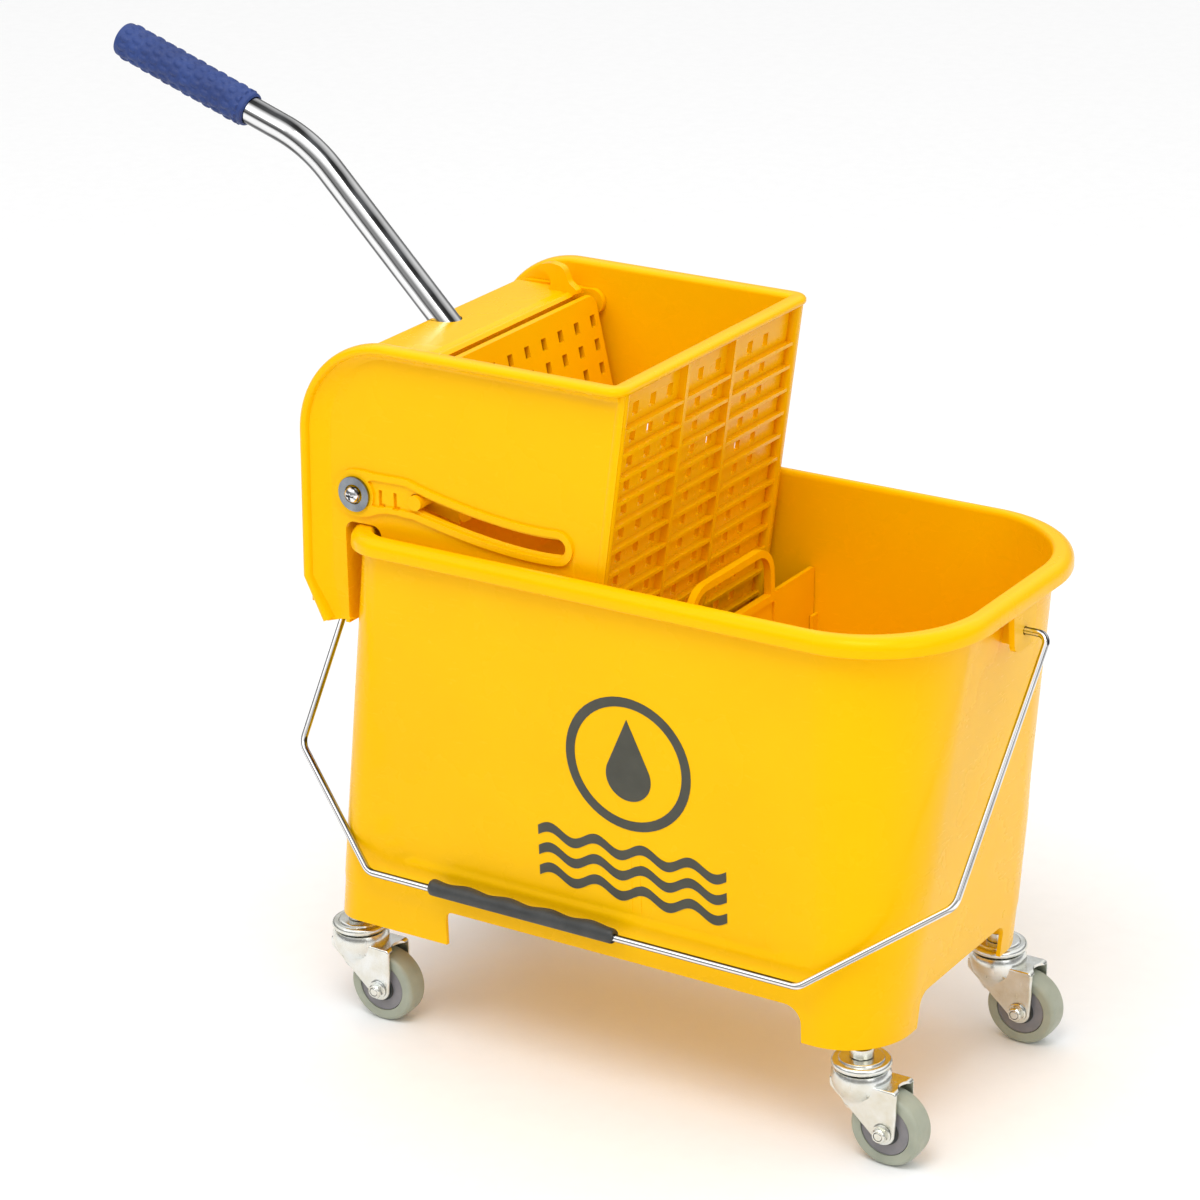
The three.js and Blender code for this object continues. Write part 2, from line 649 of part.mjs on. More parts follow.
function makeLeverTube() {
  const axis = tubeAxis();
  const shift = at(PIVOT.x, 0, PIVOT.z);
  const corners = [axis.point(-TUBE_SOCKET), TUBE_BEND.clone().sub(shift), TUBE_TIP.clone().sub(shift)];
  const tube = along(rounded(corners, TUBE_BEND_R, 5), TUBE_R, 16, TUBE_BORE);
  const boltAt = axis.point(-TUBE_SOCKET / 2);
  return tube.subtract(crossBar(boltAt.x, boltAt.z, -30, 30, PIN_ROD_R + GAP, 10));
}

function makeLeverGrip() {
  const shift = at(PIVOT.x, 0, PIVOT.z);
  const tip = TUBE_TIP.clone().sub(shift);
  const back = new THREE.Vector3().subVectors(TUBE_BEND, TUBE_TIP).normalize();
  const outerEnd = tip.clone().addScaledVector(back, -3 - GAP);
  const innerEnd = outerEnd.clone().addScaledVector(back, GRIP_LENGTH);
  const boreEnd = innerEnd.clone().addScaledVector(back, 5);
  const bore = bar(tip.clone().addScaledVector(back, -GAP), boreEnd, TUBE_R + 2 * GAP, 16);
  return bar(outerEnd, innerEnd, GRIP_R, 18).subtract(bore);
}

function makeHingeRod() {
  return crossBar(0, 0, -HEAD_HALF, HEAD_HALF, PIN_ROD_R, 12);
}

// A dome-headed screw through the cheek into the hub, and its washer.
function makePivotScrew(side) {
  const start = CHEEK_IN - 18;
  const seat = WASHER.out + GAP;
  const head = [[5.6, seat], [5.2, seat + 2.2], [3.4, seat + 3.8], [0, seat + 4.4]];
  return turnedAcross([[0, start], [3, start], [3, seat], ...head], 16).scale([1, side, 1]);
}

function makeWasher(side) {
  const { in: low, out: high, r } = WASHER;
  const profile = [[3 + GAP, low], [r, low], [r, high], [3 + GAP, high], [3 + GAP, low]];
  return turnedAcross(profile, 24).scale([1, side, 1]);
}

// ---------- press plate, drawn about its hinge, hanging straight down ----------
function platePin() {
  const pin = new THREE.Vector2(PLATE_PIN.x - HINGE.x, PLATE_PIN.z - HINGE.z);
  return pin.rotateAround(new THREE.Vector2(), -PLATE_LEAN);
}

function makePressPlate() {
  const face = 7;
  const thick = 3.5;
  const pin = platePin();
  const sheet = block(face - thick, face, -PLATE_HALF, PLATE_HALF, -PLATE_LENGTH, 2);
  const barrel = crossBar(0, 0, -PLATE_HALF, PLATE_HALF, 6, 18);
  const root = [[face - 1, 0], [-4, -4], [pin.x - 8, pin.y + 6], [pin.x - 8, pin.y - 6]];
  const flange = outline([...root, [pin.x + 2, pin.y - 11], [face - 1, -PLATE_LENGTH]]);
  const flanges = [slab(flange, PLATE_HALF - 4, PLATE_HALF), slab(flange, -PLATE_HALF, 4 - PLATE_HALF)];
  const pinEnd = 113.5;
  const pins = [crossBar(pin.x, pin.y, -pinEnd, 2 - PLATE_HALF, PIN_R, 16),
    crossBar(pin.x, pin.y, PLATE_HALF - 2, pinEnd, PIN_R, 16)];
  const rib = (y) => block(face - 9, face - 1, y - 1.2, y + 1.2, -PLATE_LENGTH, -8);
  const stiffeners = [-60, -20, 20, 60].map(rib);
  const holes = [];
  for (let row = 0; row < 5; row += 1) {
    for (let col = 0; col < 10; col += 1) {
      const y = (col - 4.5) * 20;
      const z = -10.5 - row * 16.3;
      holes.push(block(-3, face + 2, y - 2.8, y + 2.8, z - 4, z + 4));
    }
  }
  const rodHole = crossBar(0, 0, -120, 120, PIN_ROD_R + GAP, 12);
  return without(joined([sheet, barrel, ...flanges, ...pins, ...stiffeners]), [joined(holes), rodHole]);
}

// ---------- casters, each drawn about its stem axis with the floor at z = 0 ----------
const AXLE_Z = WHEEL_R;

function makeStem() {
  const collar = [[KING_R, 69.2], [8, 69.2], [8, FOOT.z - 0.5], [STEM_R, FOOT.z - 0.5]];
  return turned([[0, 57], [KING_R, 57], ...collar, [STEM_R, 104], [STEM_R - 1, 105.5], [0, 105.5]], 14);
}

function makeRaceway() {
  const low = RACE_LOW;
  const bore = KING_R + GAP;
  const rings = [[RACE_R - 1.5, low], [RACE_R, low + 1.7], [RACE_R - 1, low + 4.7], [RACE_R - 5, low + 6.6]];
  return turned([[bore, low], ...rings, [bore, low + 6.6], [bore, low]], 16);
}

function forkOutline() {
  const shape = new THREE.Shape();
  shape.moveTo(-RACE_R + 3, 53);
  shape.lineTo(-RACE_R + 3, 45);
  shape.lineTo(TRAIL - 8, AXLE_Z - 3.5);
  shape.absarc(TRAIL, AXLE_Z, 8.5, Math.PI * 1.12, Math.PI * 2);
  shape.lineTo(TRAIL + 9, 56);
  shape.lineTo(-RACE_R + 3, 56);
  return shape;
}

function makeFork() {
  const cheeks = slab(forkOutline(), -FORK_OUT, FORK_OUT, 6);
  const between = block(-60, 60, -FORK_IN, FORK_IN, 0, 54);
  const top = RACE_LOW - GAP;
  const cup = [[RACE_R - 2.5, 53.5], [RACE_R, 56], [RACE_R - 0.4, top - 1.5], [RACE_R - 3, top]];
  const race = turned([[0, 53.5], ...cup, [0, top]], 16);
  const kingHole = post(0, 0, 50, 70, KING_R + 2 * GAP, 10);
  const axleHole = crossBar(TRAIL, AXLE_Z, -20, 20, 3 + 2 * GAP, 10);
  return without(joined([cheeks.subtract(between), race]), [kingHole, axleHole]);
}

function makeTyre() {
  const r = WHEEL_R;
  const w = TYRE_HALF;
  const tread = [[r - 2, -w], [r, -w + 3], [r, w - 3], [r - 2, w]];
  return turnedAcross([[17.3, -w], ...tread, [17.3, w], [17.3, -w]], 24);
}

function makeCore() {
  const w = TYRE_HALF - 0.8;
  return turnedAcross([[7.3, -w], [17 - GAP, -w], [17 - GAP, w], [7.3, w], [7.3, -w]], 20);
}

function makeBush() {
  const w = FORK_IN - GAP;
  return turnedAcross([[3 + GAP, -w], [6.9, -w], [6.9, w], [3 + GAP, w], [3 + GAP, -w]], 16);
}

function makeAxleBolt() {
  const seat = FORK_OUT + GAP;
  return turnedAcross([[0, -17], [3, -17], [3, seat], [5.4, seat], [5.4, seat + 3.7], [0, seat + 3.7]], 12);
}

function makeAxleNut() {
  const low = -FORK_OUT - GAP;
  return turnedAcross([[3 + GAP, low], [5.2, low], [5.2, low - 4], [3 + GAP, low - 4], [3 + GAP, low]], 6);
}

// ---------- the scene ----------
const paint = (color, roughness, metalness) => ({ color, roughness, metalness });
const PLASTIC = paint(0xfcbe0a, 0.38, 0);
const INNER_PLASTIC = paint(0xfbb408, 0.4, 0);
const CHROME = paint(0xd8dadd, 0.14, 1);
const ZINC = paint(0xc9cccf, 0.32, 1);
const BLUE_RUBBER = paint(0x3c5596, 0.6, 0);
const DARK_PLASTIC = paint(0x3c3e3e, 0.55, 0);
const GREY_RUBBER = paint(0xa5b49b, 0.6, 0);
const GREY_PLASTIC = paint(0x8c8e8c, 0.5, 0);
const BLACK_PLASTIC = paint(0x2d3230, 0.5, 0);

function piece(name, body, look) {
  const mesh = new THREE.Mesh(surface(body), new THREE.MeshStandardMaterial(look));
  mesh.name = name;
  return mesh;
}

function placed(members, x, y, z) {
  const holder = new THREE.Group();
  holder.position.set(x, y, z);
  holder.add(...members);
  return holder;
}

function caster(tag, x, y) {
  const wheel = placed([piece(`tyre_${tag}`, makeTyre(), GREY_RUBBER),
    piece(`wheel_core_${tag}`, makeCore(), GREY_PLASTIC), piece(`bush_${tag}`, makeBush(), BLACK_PLASTIC),
    piece(`axle_bolt_${tag}`, makeAxleBolt(), ZINC), piece(`axle_nut_${tag}`, makeAxleNut(), ZINC)],
  TRAIL, 0, AXLE_Z);
  return placed([piece(`stem_${tag}`, makeStem(), ZINC), piece(`raceway_${tag}`, makeRaceway(), ZINC),
    piece(`fork_${tag}`, makeFork(), ZINC), wheel], x, y, 0);
}

function bail() {
  const handle = placed([piece('bail_wire', makeBailWire(), CHROME),
    piece('bail_grip', makeBailGrip(), DARK_PLASTIC)], 0, 0, BAIL_PIVOT_Z);
  handle.rotation.x = -BAIL_HANG;
  return handle;
}

function lever() {
  const hinge = [HINGE.x - PIVOT.x, 0, HINGE.z - PIVOT.z];
  const plate = placed([piece('press_plate', makePressPlate(), INNER_PLASTIC)], ...hinge);
  plate.rotation.y = -PLATE_LEAN;
  const rod = placed([piece('hinge_rod', makeHingeRod(), ZINC)], ...hinge);
  return placed([piece('lever_head', makeLeverHead(), PLASTIC), piece('lever_tube', makeLeverTube(), CHROME),
    piece('lever_grip', makeLeverGrip(), BLUE_RUBBER), piece('tube_bolt', makeTubeBolt(), ZINC),
    piece('pivot_screw_front', makePivotScrew(-1), ZINC), piece('pivot_screw_back', makePivotScrew(1), ZINC),
    piece('pivot_washer_front', makeWasher(-1), ZINC), piece('pivot_washer_back', makeWasher(1), ZINC),
    rod, plate], PIVOT.x, 0, PIVOT.z);
}

const assembly = new THREE.Group();
assembly.add(piece('tub', makeTub(), PLASTIC), piece('divider', makeDivider(), INNER_PLASTIC),
  piece('wringer_basket', makeWringer(), PLASTIC), bail(), lever(),
  caster('front_left', -STEM_X, -STEM_Y), caster('front_right', STEM_X, -STEM_Y),
  caster('back_left', -STEM_X, STEM_Y), caster('back_right', STEM_X, STEM_Y));

// The origin is on the floor, under the middle of the whole bucket.
const group = new THREE.Group();
group.add(assembly);
const size = new THREE.Box3().setFromObject(group, true);
assembly.position.set(-(size.min.x + size.max.x) / 2, -(size.min.y + size.max.y) / 2, -size.min.z);

export default group;
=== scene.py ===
"""Looks of the mop bucket with wringer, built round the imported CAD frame.

Shapes are drawn in millimetres with x = 0 midway between the caster stems, y = 0 on the mid plane
and z = 0 on the floor, then placed in the row frame in metres.  +X is the open end, -Y the front.
"""

import json
import math

import bmesh
import bpy
import numpy as np
from mathutils import Matrix, Vector


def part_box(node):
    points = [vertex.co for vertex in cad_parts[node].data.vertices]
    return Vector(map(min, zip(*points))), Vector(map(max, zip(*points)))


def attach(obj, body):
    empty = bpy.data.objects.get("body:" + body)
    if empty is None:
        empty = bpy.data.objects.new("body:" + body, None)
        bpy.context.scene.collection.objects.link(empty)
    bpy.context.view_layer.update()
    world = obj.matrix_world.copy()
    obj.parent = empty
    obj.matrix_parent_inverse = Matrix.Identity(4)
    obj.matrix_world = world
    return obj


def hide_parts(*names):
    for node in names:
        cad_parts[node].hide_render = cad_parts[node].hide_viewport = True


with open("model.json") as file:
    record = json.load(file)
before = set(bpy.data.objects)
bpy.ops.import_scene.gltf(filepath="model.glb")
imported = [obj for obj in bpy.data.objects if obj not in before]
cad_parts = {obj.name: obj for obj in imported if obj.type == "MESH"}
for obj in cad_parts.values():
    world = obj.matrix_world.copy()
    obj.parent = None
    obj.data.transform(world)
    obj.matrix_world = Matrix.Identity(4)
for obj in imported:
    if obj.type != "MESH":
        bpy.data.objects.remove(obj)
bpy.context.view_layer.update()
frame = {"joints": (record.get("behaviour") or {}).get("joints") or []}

# ---------- the frame, in millimetres ----------
MM = 0.001
TAGS = ("front_left", "front_right", "back_left", "back_right")
JOINT = {j["name"]: Vector(j.get("pos_m", (0, 0, 0))) for j in frame["joints"]}
MIDDLE = sum((JOINT[f"swivel_{tag}"] for tag in TAGS), Vector()) / len(TAGS)
MIDDLE.z = 0


def from_frame(point):
    """A row-frame point in metres as drawing millimetres."""
    return (Vector(point) - MIDDLE) / MM


def node_box(name):
    low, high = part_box(name)
    return from_frame(low), from_frame(high)


TUB_LOW, TUB_HIGH = node_box("tub")
WRINGER_LOW, WRINGER_HIGH = node_box("wringer_basket")
HEAD_HALF = node_box("lever_head")[1].y
DIVIDER_LOW, DIVIDER_HIGH = node_box("divider")
DIVIDER_X = (DIVIDER_LOW.x + DIVIDER_HIGH.x) / 2
PIVOT = from_frame(JOINT["lever_swing"])
HINGE = from_frame(JOINT["plate_fold"])
BAIL_PIVOT = from_frame(JOINT["bail_swing"])
STEM = from_frame(JOINT["swivel_back_right"])
AXLE = from_frame(JOINT["roll_back_right"])
STEMS = [(sx * STEM.x, sy * STEM.y) for sx in (-1, 1) for sy in (-1, 1)]

# ---------- driving dimensions, millimetres ----------
WALL = 3.5
SHEET = 3.0
FOOT = {"z": TUB_LOW.z, "left": TUB_LOW.x, "right": TUB_HIGH.x - 40, "half": TUB_HIGH.y - 16.5,
        "left_r": 22, "right_r": 46}
NECK = {"z": TUB_HIGH.z - 12, "left": TUB_LOW.x + 35, "right": TUB_HIGH.x - 11, "half": TUB_HIGH.y - 7.5,
        "left_r": 22, "right_r": 77}
RIM = {"z": TUB_HIGH.z, "left": TUB_LOW.x + 27.5, "right": TUB_HIGH.x, "half": TUB_HIGH.y,
       "left_r": 29, "right_r": 82}
BRACKET_LEFT = -190
BRACKET_RIGHT = 252
BOWL_FLOOR = 112
BOWL_LEFT = -158
SKIRT_Z = 101
FEET_INNER = {"left": -110, "right": 159, "half": 58}

CHEEK_FACE = 110
CHEEK_LIP = 119
CHEEK_TOP = WRINGER_HIGH.z
CHEEK_ARC = {"x": -142, "z": CHEEK_TOP - 68, "r": 68}
PANEL_LEAN = 0.1407
PANEL_DEPTH = 6
BASKET = {"floor": WRINGER_LOW.z, "back": -153, "slope_x": -128, "slope_z": 290}
LEG_LOW = 291
LEG_TIP = -199
NOTCH_LEFT = -181
APRON_LOW = 300

LEVER_TRAVEL = math.radians(43)
PLATE_RATIO = 1.414
PLATE_PIN = Vector((-124, 0, 385))
PLATE_LEAN = math.radians(12.4)
PIN_R = 5
WASHER = {"in": 112.3, "out": 114.4, "r": 11.8}
BAIL_R = 2.4
BAIL_HANG = math.radians(30.7)
BAIL_REACH = 247
BAIL_SHOULDER = 175

# the wringer's faces, ribs and drain holes
CHEEK_IN = CHEEK_FACE - SHEET
LEFT = WRINGER_LOW.x
BEAD_R = 3.1
RIM_RISE = 3.6
RIB_TOP = 456
RIB_PITCH = 16.35
RIB_COUNT = 12
RIB_POSTS = (-33, 25.5)
HOLE_COLUMNS = (-86, -65.5, -45.5, -8, 13.5, 53.5, 73.5)
HOLE_DROP = 0.55

# the lever's tube, grip and head
TUBE_R = 9.5
TUBE_BORE = 8.2
TUBE_SOCKET = 40
TUBE_BEND_R = 100
GRIP_LENGTH = 112
GRIP_R = 11.9
BUMP_HEIGHT = 1.15
DECK_TOP = PIVOT.z + 87
DECK_END_Y = 88

# the press plate's holes: 5 rows of 10
PLATE_HOLE = {"pitch_y": 20, "pitch_z": 16.3, "first_z": -10.5, "half_y": 2.8, "half_z": 4}

# the casters, drawn about the stem axis
TRAIL = AXLE.x - STEM.x
AXLE_Z = AXLE.z
FORK_IN, FORK_OUT = 10.7, 12.7
RACE_R = 19.5
UP = (0, 0, 1)

# the emblem on the front
EMBLEM = (36, 241)
WAVE_HEIGHTS = (179, 164.5, 150)

BEVEL_ANGLE = math.radians(32)


# ---------- mesh building ----------
def new_object(points, faces, name="tool"):
    data = bpy.data.meshes.new(name)
    data.from_pydata([tuple(p) for p in points], [], faces)
    mesh = bmesh.new()
    mesh.from_mesh(data)
    bmesh.ops.recalc_face_normals(mesh, faces=mesh.faces)
    mesh.to_mesh(data)
    mesh.free()
    obj = bpy.data.objects.new(name, data)
    bpy.context.scene.collection.objects.link(obj)
    return obj


def loft(rings, closed=False):
    """A skin over rings of equally many points, capped at both ends or closed on itself."""
    count = len(rings[0])
    points = [p for ring in rings for p in ring]
    faces = []
    last = len(rings) if closed else len(rings) - 1
    for i in range(last):
        a, b = i * count, ((i + 1) % len(rings)) * count
        for k in range(count):
            n = (k + 1) % count
            faces.append((a + k, a + n, b + n, b + k))
    if not closed:
        faces.append(tuple(range(count))[::-1])
        faces.append(tuple(range((len(rings) - 1) * count, len(rings) * count)))
    return new_object(points, faces)


def block(x0, x1, y0, y1, z0, z1):
    ring = [(x0, y0), (x1, y0), (x1, y1), (x0, y1)]
    return loft([[(x, y, z0) for x, y in ring], [(x, y, z1) for x, y in ring]])


def oval(centre, wide, tall, start, end, steps):
    """Points on an ellipse from start to end, in degrees."""
    turns = [math.radians(start + (end - start) * k / steps) for k in range(steps + 1)]
    return [(centre[0] + wide * math.cos(a), centre[1] + tall * math.sin(a)) for a in turns]


def arc(centre, radius, start, end, steps=10):
    """Points on a circle from start to end, in degrees."""
    return oval(centre, radius, radius, start, end, steps)


def swung(centre, first, last, steps):
    """Points on the arc about a centre from one spoke to another."""
    turn = first.angle(last)
    points = []
    for k in range(steps + 1):
        t = k / steps
        a = math.sin((1 - t) * turn) / math.sin(turn)
        b = math.sin(t * turn) / math.sin(turn)
        points.append(centre + first * a + last * b)
    return points


def rounded(corners, steps=6):
    """A closed outline from (a, b, radius) corners, each rounded by an arc of that radius."""
    points = []
    for i, (x, y, radius) in enumerate(corners):
        here = Vector((x, y))
        back = Vector(corners[i - 1][:2]) - here
        ahead = Vector(corners[(i + 1) % len(corners)][:2]) - here
        half = back.angle(ahead) / 2
        if radius <= 0 or half > math.radians(89.5):
            points.append((x, y))
            continue
        reach = min(radius / math.tan(half), 0.49 * back.length, 0.49 * ahead.length)
        radius = reach * math.tan(half)
        middle = (back.normalized() + ahead.normalized()).normalized()
        centre = here + middle * (radius / math.sin(half))
        first = here + back.normalized() * reach - centre
        last = here + ahead.normalized() * reach - centre
        points += [tuple(point) for point in swung(centre, first, last, steps)]
    return points


def slab(outline, y0, y1):
    """An outline in x and z, given thickness along y."""
    return loft([[(x, y0, z) for x, z in outline], [(x, y1, z) for x, z in outline]])


def cross_slab(outline, x0, x1):
    """An outline in y and z, given thickness along x."""
    return loft([[(x0, y, z) for y, z in outline], [(x1, y, z) for y, z in outline]])


def axis_frame(direction):
    along = Vector(direction).normalized()
    side = along.orthogonal().normalized()
    return side, along.cross(side), along


def lathe(profile, origin, direction, segments=48, closed=False):
    """A profile of (radius, distance) pairs turned about an axis."""
    side, other, along = axis_frame(direction)
    rings = []
    for radius, distance in profile:
        ring = []
        for k in range(segments):
            a = 2 * math.pi * k / segments
            spoke = side * math.cos(a) + other * math.sin(a)
            ring.append(Vector(origin) + spoke * radius + along * distance)
        rings.append(ring)
    return loft(rings, closed)


def rod(start, end, radius, segments=32):
    start, end = Vector(start), Vector(end)
    return lathe([(radius, 0), (radius, (end - start).length)], start, end - start, segments)


def cross_rod(x, z, y0, y1, radius, segments=32):
    return rod((x, y0, z), (x, y1, z), radius, segments=segments)


def bent(corners, radius, steps=8):
    """A path through corners, each inner one replaced by an arc."""
    points = [Vector(corners[0])]
    for before, here, after in zip(corners, corners[1:], corners[2:]):
        here = Vector(here)
        back = (Vector(before) - here).normalized()
        ahead = (Vector(after) - here).normalized()
        half = back.angle(ahead) / 2
        reach = radius / math.tan(half)
        centre = here + (back + ahead).normalized() * (radius / math.sin(half))
        first, last = here + back * reach - centre, here + ahead * reach - centre
        points += swung(centre, first, last, steps)
    return points + [Vector(corners[-1])]


def sweep(path, section):
    """A section of (u, v) points carried along a path, starting square to the y axis."""
    across = Vector((0, 1, 0))
    rings = []
    for i, point in enumerate(path):
        before, after = path[max(i - 1, 0)], path[min(i + 1, len(path) - 1)]
        along = (after - before).normalized()
        across = (across - along * across.dot(along)).normalized()
        up = along.cross(across).normalized()
        rings.append([point + across * u + up * v for u, v in section])
    return loft(rings)


def circle(radius, steps=24):
    return arc((0, 0), radius, 0, 360 - 360 / steps, steps - 1)


def apply_modifiers(obj):
    graph = bpy.context.evaluated_depsgraph_get()
    data = bpy.data.meshes.new_from_object(obj.evaluated_get(graph))
    obj.modifiers.clear()
    obj.data = data


def combine(base, tools, operation):
    for tool in tools:
        step = base.modifiers.new("combine", "BOOLEAN")
        step.operation = operation
        step.solver = "MANIFOLD"
        step.object = tool
    apply_modifiers(base)
    for tool in tools:
        bpy.data.objects.remove(tool)
    return base


def join(base, *tools):
    return combine(base, tools, "UNION")


def cut(base, *tools):
    return combine(base, tools, "DIFFERENCE")


def common(base, *tools):
    return combine(base, tools, "INTERSECT")


def mirrored(obj):
    """A copy on the other side of the mid plane."""
    copy = obj.copy()
    copy.data = obj.data.copy()
    bpy.context.scene.collection.objects.link(copy)
    copy.data.transform(Matrix.Scale(-1, 4, (0, 1, 0)))
    copy.data.flip_normals()
    return copy


def soften(obj, width, segments=2, planar=True):
    """Rounds the hard edges, in millimetres, and evens out the shading of the flats."""
    mesh = bmesh.new()
    mesh.from_mesh(obj.data)
    bmesh.ops.remove_doubles(mesh, verts=mesh.verts, dist=0.01)
    if planar:
        bmesh.ops.dissolve_limit(mesh, angle_limit=math.radians(0.4), verts=mesh.verts, edges=mesh.edges)
    mesh.to_mesh(obj.data)
    mesh.free()
    edge = obj.modifiers.new("round edges", "BEVEL")
    edge.width = width
    edge.segments = segments
    edge.limit_method = "ANGLE"
    edge.angle_limit = BEVEL_ANGLE
    edge.use_clamp_overlap = True
    edge.loop_slide = True
    apply_modifiers(obj)
    return obj


def settle(obj, name, body, nodes, material, smooth=40):
    """Places a finished shape in the row frame and says what it stands for."""
    obj.name = name
    obj.data.name = name
    obj.data.transform(Matrix.Translation(MIDDLE) @ Matrix.Scale(MM, 4))
    obj.data.polygons.foreach_set("use_smooth", [True] * len(obj.data.polygons))
    obj.data.set_sharp_from_angle(angle=math.radians(smooth))
    even = obj.modifiers.new("even shading", "WEIGHTED_NORMAL")
    even.keep_sharp = True
    obj.data.materials.clear()
    obj.data.materials.append(material)
    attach(obj, body)
    if nodes:
        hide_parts(*nodes)
    return obj


# ---------- materials ----------
class Nodes:
    """A material's node tree with short ways to add nodes."""

    def __init__(self, name):
        self.material = bpy.data.materials.new(name)
        self.material.use_nodes = True
        self.tree = self.material.node_tree
        self.shader = self.tree.nodes["Principled BSDF"]
        coordinates = self.tree.nodes.new("ShaderNodeTexCoord")
        self.place = coordinates.outputs["Object"]

    def set(self, **values):
        for name, value in values.items():
            self.shader.inputs[name.replace("_", " ")].default_value = value

    def link(self, source, target):
        self.tree.links.new(source, target)

    def stretched(self, scale):
        node = self.tree.nodes.new("ShaderNodeMapping")
        node.inputs["Scale"].default_value = scale
        self.link(self.place, node.inputs["Vector"])
        return node.outputs["Vector"]

    def noise(self, scale, detail=3.0, roughness=0.5, vector=None):
        node = self.tree.nodes.new("ShaderNodeTexNoise")
        node.inputs["Scale"].default_value = scale
        node.inputs["Detail"].default_value = detail
        node.inputs["Roughness"].default_value = roughness
        self.link(vector or self.place, node.inputs["Vector"])
        return node.outputs["Fac"]

    def spread(self, value, low, high, to_low, to_high):
        node = self.tree.nodes.new("ShaderNodeMapRange")
        node.inputs["From Min"].default_value = low
        node.inputs["From Max"].default_value = high
        node.inputs["To Min"].default_value = to_low
        node.inputs["To Max"].default_value = to_high
        self.link(value, node.inputs["Value"])
        return node.outputs["Result"]

    def facing(self, direction):
        """How far the skin faces a direction, from -1 to 1."""
        coordinates = self.tree.nodes.new("ShaderNodeTexCoord")
        node = self.tree.nodes.new("ShaderNodeVectorMath")
        node.operation = "DOT_PRODUCT"
        node.inputs[1].default_value = Vector(direction).normalized()
        self.link(coordinates.outputs["Normal"], node.inputs[0])
        return node.outputs["Value"]

    def ramp(self, value, stops):
        """Grey levels out of 255 at places from 0 to 1."""
        node = self.tree.nodes.new("ShaderNodeValToRGB")
        elements = node.color_ramp.elements
        while len(elements) < len(stops):
            elements.new(0.5)
        for element, (place, grey) in zip(elements, stops):
            element.position = place
            element.color = (*linear(grey, grey, grey), 1)
        self.link(value, node.inputs["Fac"])
        return node.outputs["Color"]

    def mix(self, factor, first, second):
        node = self.tree.nodes.new("ShaderNodeMix")
        node.data_type = "RGBA"
        self.link(factor, node.inputs["Factor"])
        for value, socket in ((first, node.inputs["A"]), (second, node.inputs["B"])):
            if isinstance(value, tuple):
                socket.default_value = (*value, 1)
            else:
                self.link(value, socket)
        return node.outputs["Result"]

    def add(self, first, second):
        node = self.tree.nodes.new("ShaderNodeMath")
        self.link(first, node.inputs[0])
        self.link(second, node.inputs[1])
        return node.outputs["Value"]

    def colour(self, value):
        self.link(value, self.shader.inputs["Base Color"])

    def gloss(self, value):
        self.link(value, self.shader.inputs["Roughness"])

    def bump(self, height, distance, strength=1.0):
        node = self.tree.nodes.new("ShaderNodeBump")
        node.inputs["Distance"].default_value = distance
        node.inputs["Strength"].default_value = strength
        self.link(height, node.inputs["Height"])
        self.link(node.outputs["Normal"], self.shader.inputs["Normal"])


def linear(red, green, blue):
    """A display colour out of 255 as scene-linear numbers."""
    shares = (c / 255 for c in (red, green, blue))
    return tuple(((c + 0.055) / 1.055) ** 2.4 if c > 10 / 255 else c / 12.92 for c in shares)


# Painted reflection: grey levels of the chrome's base colour, chosen by which way the skin faces.
CHROME_PAINTED_REFLECTION = ((0, 190), (0.12, 60), (0.24, 44), (0.32, 230), (0.47, 245), (0.55, 120), (0.62, 235),
                  (0.78, 240), (0.86, 50), (0.93, 40), (1, 200))


def moulded_plastic(name, light, deep, base_gloss):
    """Glossy moulded polypropylene: faint cloudy colour, orange-peel skin, handling scuffs."""
    look = Nodes(name)
    look.set(IOR=1.49, Specular_IOR_Level=0.4, Specular_Tint=(1, 0.72, 0.12, 1))
    look.set(Coat_Weight=0.012, Coat_Roughness=0.12)
    look.colour(look.mix(look.spread(look.noise(9, 4), 0.35, 0.65, 0, 1), light, deep))
    scuffs = look.noise(60, 6, 0.7, look.stretched((1, 1, 6)))
    cloud = look.spread(look.noise(22, 4), 0.3, 0.7, base_gloss - 0.04, base_gloss + 0.05)
    look.gloss(look.add(cloud, look.spread(scuffs, 0.6, 0.75, 0, 0.14)))
    look.bump(look.add(look.noise(420, 2), look.spread(look.noise(18, 2), 0, 1, 0, 6)), 0.00004)
    return look.material


def chrome(name):
    """Bright plate with painted reflection: dark and light bands in the base colour, set by which way the
    skin faces, stand in for mirrored surroundings.
    """
    look = Nodes(name)
    look.set(Metallic=1.0)
    # Painted reflection: the base colour is darkened and lightened in bands by the skin's facing, in place
    # of mirrored surroundings.
    faces = look.facing((0.62, 0.1, 0.78))
    wander = look.spread(look.noise(30, 3), 0, 1, -0.06, 0.06)
    painted_reflection = look.ramp(look.spread(look.add(faces, wander), -1, 1, 0, 1), CHROME_PAINTED_REFLECTION)
    look.colour(look.mix(look.spread(look.noise(40, 5), 0.4, 0.7, 0, 0.12), painted_reflection, linear(200, 204, 210)))
    hairlines = look.noise(900, 3, 0.6, look.stretched((0.15, 1, 1)))
    look.gloss(look.spread(hairlines, 0.45, 0.8, 0.055, 0.2))
    look.bump(look.noise(300, 3), 0.00001)
    return look.material


def zinc(name, bright, warm):
    """Bright zinc plate over pressed steel, a little cloudy and warm in places."""
    look = Nodes(name)
    look.set(Metallic=1.0)
    tint = look.spread(look.noise(70, 5, 0.6), 0.35, 0.7, 0, 1)
    look.colour(look.mix(tint, bright, warm))
    brushed = look.noise(500, 5, 0.6, look.stretched((1, 1, 0.12)))
    look.gloss(look.spread(brushed, 0.3, 0.75, 0.16, 0.3))
    look.bump(look.add(look.noise(900, 4), look.noise(160, 3)), 0.000008)
    return look.material


